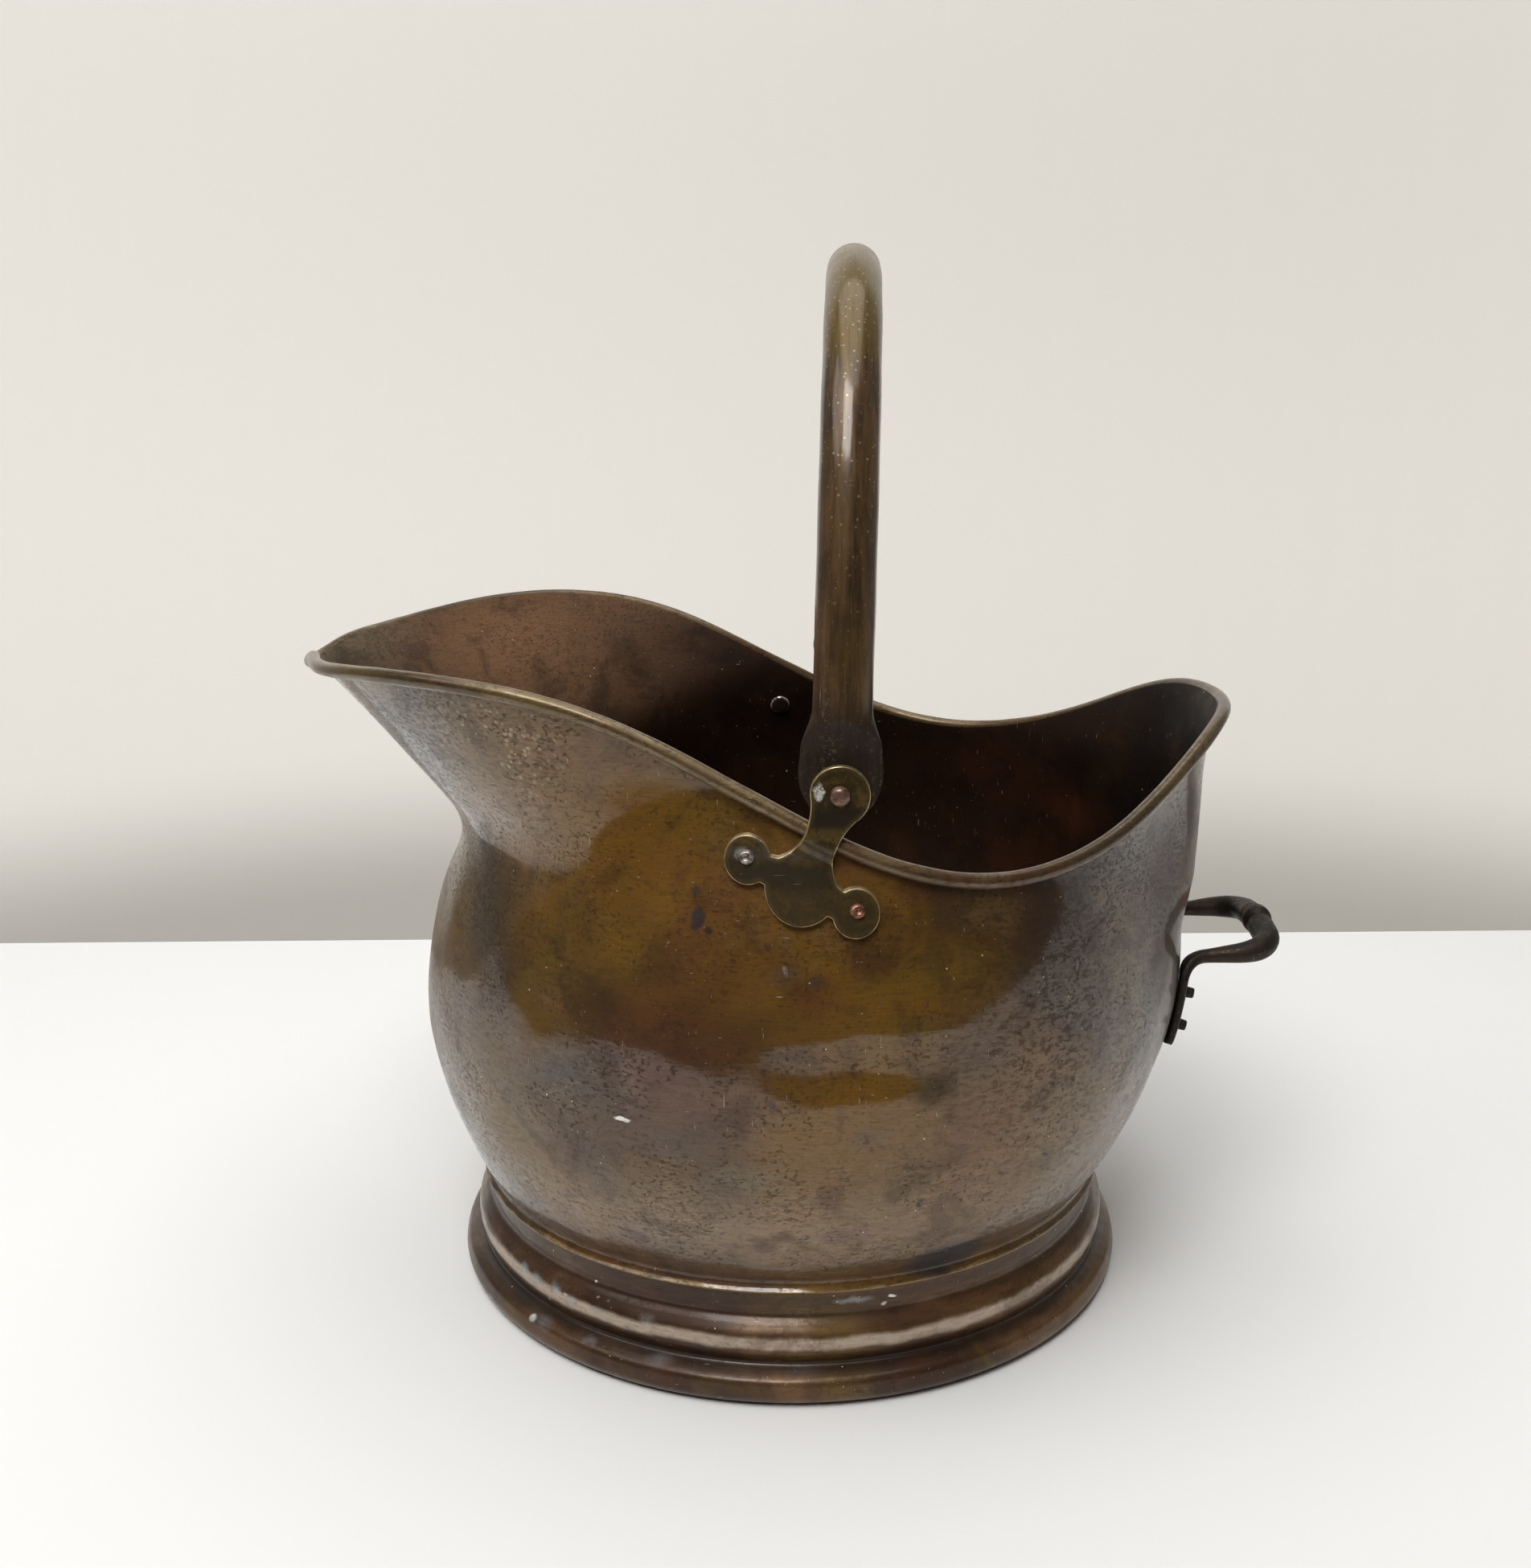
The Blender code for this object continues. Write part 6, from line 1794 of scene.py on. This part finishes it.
@dataclass
class Studio:
    """Camera of the photo, a white table, a warm pale round room and soft lamps."""

    place: Point = (0.02095, -0.64357, 0.34599)
    right: Point = (0.99892088, 0.04630686, -0.00357186)
    up: Point = (-0.00732918, 0.2331107, 0.97242259)
    forward: Point = (-0.04586247, 0.97134704, -0.23319854)
    sensor: float = 36.0
    focal_share: float = 2063.0 / 1950.0
    white: Colour = (0.88, 0.88, 0.875)
    table_front: float = -0.535
    table_back: float = 0.3764
    table_slope: float = 0.0622
    table_half: float = 3.0
    table_thickness: float = 0.03
    room_radius: float = 1.8
    room_heights: tuple[float, float] = (-1.2, 2.6)
    sky: Colour = (0.83, 0.86, 0.9)
    sky_strength: float = 0.12
    # Glow colours of the room's wall, painted light: lighter on the left than the right, painted shade at the
    # sides and darkest in front.
    wall_left: Colour = (0.79, 0.765, 0.72)
    wall_right: Colour = (0.72, 0.70, 0.65)
    wall_side: Colour = (0.18, 0.172, 0.165)
    wall_front: Colour = (0.055, 0.050, 0.045)
    lamps: tuple[Lamp, ...] = (
        Lamp("window", (-1.5, -0.7, 1.5), (0.0, 0.0, 0.1), 1.3, 11.0, (1.0, 0.99, 0.97)),
        Lamp("ceiling", (-0.1, 0.0, 2.3), (0.0, 0.0, 0.0), 2.2, 28.0, (1.0, 0.99, 0.975)),
        Lamp("front", (-0.35, -1.45, 1.9), (0.0, 0.0, 0.05), 1.1, 36.0, (1.0, 0.99, 0.975)),
    )

    def build(self) -> None:
        """Place the camera, then the table, the room, the sky and the lamps."""
        self.add_camera()
        self.add_table()
        self.add_room()
        world = bpy.data.worlds.new("sky")
        world.use_nodes = True
        background = world.node_tree.nodes["Background"]
        background.inputs["Color"].default_value = (*self.sky, 1.0)
        background.inputs["Strength"].default_value = self.sky_strength
        bpy.context.scene.world = world
        for lamp in self.lamps:
            self.add_lamp(lamp)

    def add_camera(self) -> None:
        """Camera with the photo's place, turn and lens."""
        data = bpy.data.cameras.new("camera")
        data.sensor_width = self.sensor
        data.lens = data.sensor_width * self.focal_share
        camera = new_object("camera", data)
        axes = np.array([self.right, self.up, self.forward, self.place]).T * [1.0, 1.0, -1.0, 1.0]
        camera.matrix_world = Matrix([*axes.tolist(), (0.0, 0.0, 0.0, 1.0)])
        bpy.context.scene.camera = camera

    def add_table(self) -> None:
        """White table whose back edge shows behind the scuttle, a little askew."""
        askew = self.table_half * self.table_slope
        corners = [(-self.table_half, self.table_front - askew), (self.table_half, self.table_front + askew)]
        corners += [(self.table_half, self.table_back + askew), (-self.table_half, self.table_back - askew)]
        faces = np.concatenate([[[0, 1, 2, 3], [7, 6, 5, 4]], grid_faces(2, 4, False, True)])
        paint = Graph("table_white")
        paint.glow(self.white, 0.0)
        self.add_sheet("table", np.array(corners), (0.0, -self.table_thickness), faces, paint.material)

    def add_room(self) -> None:
        """Upright glowing sheet on a circle with a bottom, with painted light: pale behind and dark in front.
        """
        turn = np.linspace(0.0, 2.0 * math.pi, 145)[:-1]
        ring = self.room_radius * np.stack([np.cos(turn), np.sin(turn)], axis=1)
        faces = [*grid_faces(2, len(turn), False, True), np.arange(len(turn))]
        self.add_sheet("room", ring, self.room_heights, faces, self.painted_room_light())

    def painted_room_light(self) -> bpy.types.Material:
        """Glowing wall of painted light and shade: warm white behind the table, lighter on the left than the
        right, falling to grey and dark towards the front, glowing more strongly lower down, with painted
        shade below the table's edge.
        """
        graph = Graph("painted_room_light")
        across, height = graph.axis("X"), graph.axis("Z")
        turn = graph.math("ARCTAN2", graph.axis("Y"), across)
        away = graph.math("ABSOLUTE", graph.math("SUBTRACT", turn, math.radians(93.0)))
        colour = graph.blend(
            self.wall_left,
            (self.wall_right, graph.span(across, -0.9, 0.9)),
            (self.wall_side, graph.span(away, math.radians(38.0), math.radians(52.0))),
            (self.wall_front, graph.span(away, math.radians(80.0), math.radians(120.0))),
        )
        # Painted shade: the glow falls away below the table's edge.
        shade = graph.span(height, -0.15, -0.40, 0.0, 0.42)
        graph.glow(colour, graph.math("SUBTRACT", graph.span(height, 0.85, -0.1, 0.31, 0.52), shade))
        return graph.material

    @staticmethod
    def add_sheet(
        name: str, places: Array, heights: tuple[float, float], faces: Array | list[Array],
        material: bpy.types.Material,
    ) -> None:
        """Stage piece between two levels of the same outline."""
        points = np.concatenate([np.insert(places, 2, height, axis=1) for height in heights])
        mesh = bpy.data.meshes.new(name)
        mesh.from_pydata(points.tolist(), [], [tuple(map(int, face)) for face in faces])
        mesh.materials.append(material)
        sheet = new_object(name, mesh)

    @staticmethod
    def add_lamp(lamp: Lamp) -> None:
        """Square soft lamp at its place, facing its target."""
        data = bpy.data.lights.new(lamp.name, "AREA")
        data.shape, data.size, data.energy, data.color = "SQUARE", lamp.size, lamp.power, lamp.colour
        way = Vector(lamp.target) - Vector(lamp.place)
        turned = way.to_track_quat("-Z", "Y").to_matrix().to_4x4()
        new_object(lamp.name, data).matrix_world = Matrix.Translation(lamp.place) @ turned


BOWL_DENTS: tuple[Dent, ...] = (
    Dent(-101.0, 0.1315, 0.030, 0.0100, 0.0019),
    Dent(-79.0, 0.150, 0.014, 0.012, 0.0005),
    Dent(-57.0, 0.139, 0.012, 0.009, 0.0008),
    Dent(-48.0, 0.126, 0.010, 0.008, 0.0006),
    Dent(-60.0, 0.113, 0.014, 0.008, 0.0006),
    Dent(-50.0, 0.094, 0.012, 0.009, 0.0005),
    Dent(-36.0, 0.148, 0.014, 0.012, 0.0008),
    Dent(-150.0, 0.150, 0.010, 0.016, 0.0005),
    Dent(-54.0, 0.150, 0.030, 0.013, 0.0010),
)

BOWL_OUTSIDE = Patina(
    "bowl_outside", (0.040, 0.018, 0.006), (0.170, 0.080, 0.005), (0.22, 0.155, 0.09),
    coat_index=1.6,
    patches=BOWL_MARKS_AND_LIGHT,
    bands=(
        Band(0.0425, 0.0545, (0.075, 0.034, 0.020), 0.5, 0.004),
        Band(0.0385, 0.0411, (0.36, 0.235, 0.095), 0.8, 0.0004),
    ),
    spotted=((0.086, -0.118, 0.140), (0.075, 0.062, 0.085)),
    bald=(
        ((0.160, -0.040, 0.140), (0.065, 0.110, 0.100)),
        ((-0.155, -0.040, 0.130), (0.070, 0.110, 0.100)),
        ((0.0514, -0.1431, 0.1237), (0.0115, 0.0120, 0.0095)),
        ((0.0585, -0.1130, 0.0485), (0.0215, 0.0160, 0.0075)),
        ((-0.0392, -0.1244, 0.2143), (0.0300, 0.0250, 0.0130)),
    ),
    sprinkled=((-0.0960, -0.1090, 0.2300), (0.0420, 0.0340, 0.0300)),
)
BOWL_INSIDE = Patina(
    "bowl_inside", (0.005, 0.0015, 0.0006), (0.021, 0.0065, 0.0018), (0.11, 0.05, 0.02),
    olive=(0.03, 0.018, 0.003), red=(0.05, 0.014, 0.004),
    metal=0.15, coat=0.07, coat_rough=0.3, rough=0.58,
    patches=INSIDE_MARKS,
)
ROLLED_RIM = Patina(
    "rolled_rim", (0.085, 0.055, 0.028), (0.185, 0.125, 0.060), (0.40, 0.31, 0.20),
    metal=0.5, coat=0.7, coat_rough=0.16, rough=0.36, dull=0.5,
)
FOOT_BRASS = Patina(
    "foot_brass", (0.052, 0.025, 0.013), (0.150, 0.076, 0.032), (0.32, 0.23, 0.16),
    metal=0.35, rough=0.38, coat=0.45, fleck_share=0.3, coat_rough=0.18, cloud_pitch=14.0,
    patches=FOOT_MARKS,
    bands=(
        # Painted shade in the cove under the collar's top edge.
        Band(0.0335, 0.0385, (0.040, 0.022, 0.012), 0.65, 0.0016),
        # Painted shade in the groove above the bead.
        Band(0.0285, 0.0325, (0.040, 0.018, 0.010), 0.6, 0.0015),
        # Painted highlight along the bead's crest.
        Band(0.0198, 0.0240, (0.58, 0.47, 0.36), 0.75, 0.0010),
        # Painted shade in the groove between the bead and the flange.
        Band(0.0120, 0.0158, (0.018, 0.012, 0.009), 0.8, 0.0012),
    ),
)
DARK_COPPER = Copper("copper_dark", bright=(0.24, 0.14, 0.105), brown=(0.095, 0.047, 0.032))
TINNED_COPPER = Copper("copper_tinned", bright=(0.48, 0.45, 0.41), brown=(0.12, 0.088, 0.070))


PIVOT_RIVET = Rivet(0.0022, 0.0034, 0.0019, Head.DOME, 0.0034)
EAR_RIVET = Rivet(0.0014, 0.0025, 0.0013, Head.DIMPLED, 0.0046)
TAB_RIVET = Rivet(0.0016, 0.0022, 0.0028, Head.STUB)


@dataclass
class Scuttle:
    """Everything on the two bodies, in the order of its making."""

    bowl: Bowl
    play: float = 0.0006
    gap: float = 0.0003

    def build(self) -> None:
        """Build and dress every piece."""
        inside, iron = BOWL_INSIDE.build(), Iron().build()
        sheet = dressed(self.bowl.build(), BOWL_OUTSIDE.build(), inside, ROLLED_RIM.build())
        show("bowl", sheet, "scuttle", ("body_shell",))
        show("foot", dressed(Foot().build(), FOOT_BRASS.build()), "scuttle", ("foot_ring",))
        show("bottom", dressed(BottomPlate().build(), inside), "scuttle", ("bottom_plate",))
        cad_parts["rim_wire"].data.materials.clear()
        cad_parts["rim_wire"].data.materials.append(iron)
        lug = Lug(self.bowl)
        self.add_lugs(lug)
        show("bail", dressed(Bail(lug).build(), BailBrass().build()), "bail", ("bail_handle",))
        self.add_loop_handle(iron)

    def add_lugs(self, lug: Lug) -> None:
        """Both lugs, each with its pivot rivet and the two rivets of its ears."""
        brass, copper = LugBrass().build(), Copper().build()
        dark, tinned = DARK_COPPER.build(), TINNED_COPPER.build()
        for side in Side:
            word = side.name.lower()
            plate = dressed(lug.build(side), brass)
            show(f"lug_plate_{word}", plate, "scuttle", (f"lug_{word}",))
            start = lug.pivot_point(side, EYE_THICKNESS + 2.0 * self.gap)
            rivet = replace(PIVOT_RIVET, grip=lug.thickness + EYE_THICKNESS + 3.0 * self.gap)
            mesh = dressed(rivet.build(f"pivot_{word}", start, side.outwards, 1), dark)
            show(f"pivot_{word}", mesh, "scuttle", (f"pivot_rivet_{word}",))
            for end, seat in zip(("front", "back"), lug.rivet_seats(side)):
                coated = tinned if (word, end) == ("near", "front") else copper
                name, node = f"ear_{word}_{end}", f"lug_rivet_{word}_{end}"
                mesh = dressed(self.through_wall(name, EAR_RIVET, seat, lug.thickness, 2), coated)
                show(name, mesh, "scuttle", (node,))

    def add_loop_handle(self, iron: bpy.types.Material) -> None:
        """The loop handle with the four rivets of its tabs."""
        handle = LoopHandle(self.bowl)
        show("loop_handle", dressed(handle.build(), iron), "scuttle", ("rear_handle",))
        names = [(word, end) for word in ("near", "far") for end in ("upper", "lower")]
        for (word, end), seat in zip(names, handle.rivet_seats()):
            name, node = f"tab_{word}_{end}", f"rear_rivet_{word}_{end}"
            mesh = dressed(self.through_wall(name, TAB_RIVET, seat, handle.tab_thickness, 3), iron)
            show(name, mesh, "scuttle", (node,))

    def through_wall(self, name: str, rivet: Rivet, seat: Seat, plate: float, seed: int) -> bpy.types.Mesh:
        """Mesh of a rivet that holds a plate on the wall.

        Args:
            name: name of the mesh.
            rivet: the rivet, whose grip is worked out here.
            seat: place and normal of the wall under it.
            plate: thickness of the plate.
            seed: picks where its heads swell.

        Returns:
            The mesh in place.
        """
        point, normal = seat
        wall = self.bowl.sheet + self.play
        rivet = replace(rivet, grip=wall + plate + 3.0 * self.gap)
        return rivet.build(name, point - normal * (wall + self.gap), normal, seed)


def main() -> None:
    """Build the studio and the scuttle."""
    logging.basicConfig(level=logging.INFO, format="%(name)s %(message)s")
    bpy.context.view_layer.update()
    Studio().build()
    Scuttle(Bowl(dents=BOWL_DENTS)).build()
    bpy.context.scene.view_settings.view_transform = "Standard"
    bpy.context.view_layer.update()


if __name__ == "__main__":
    main()
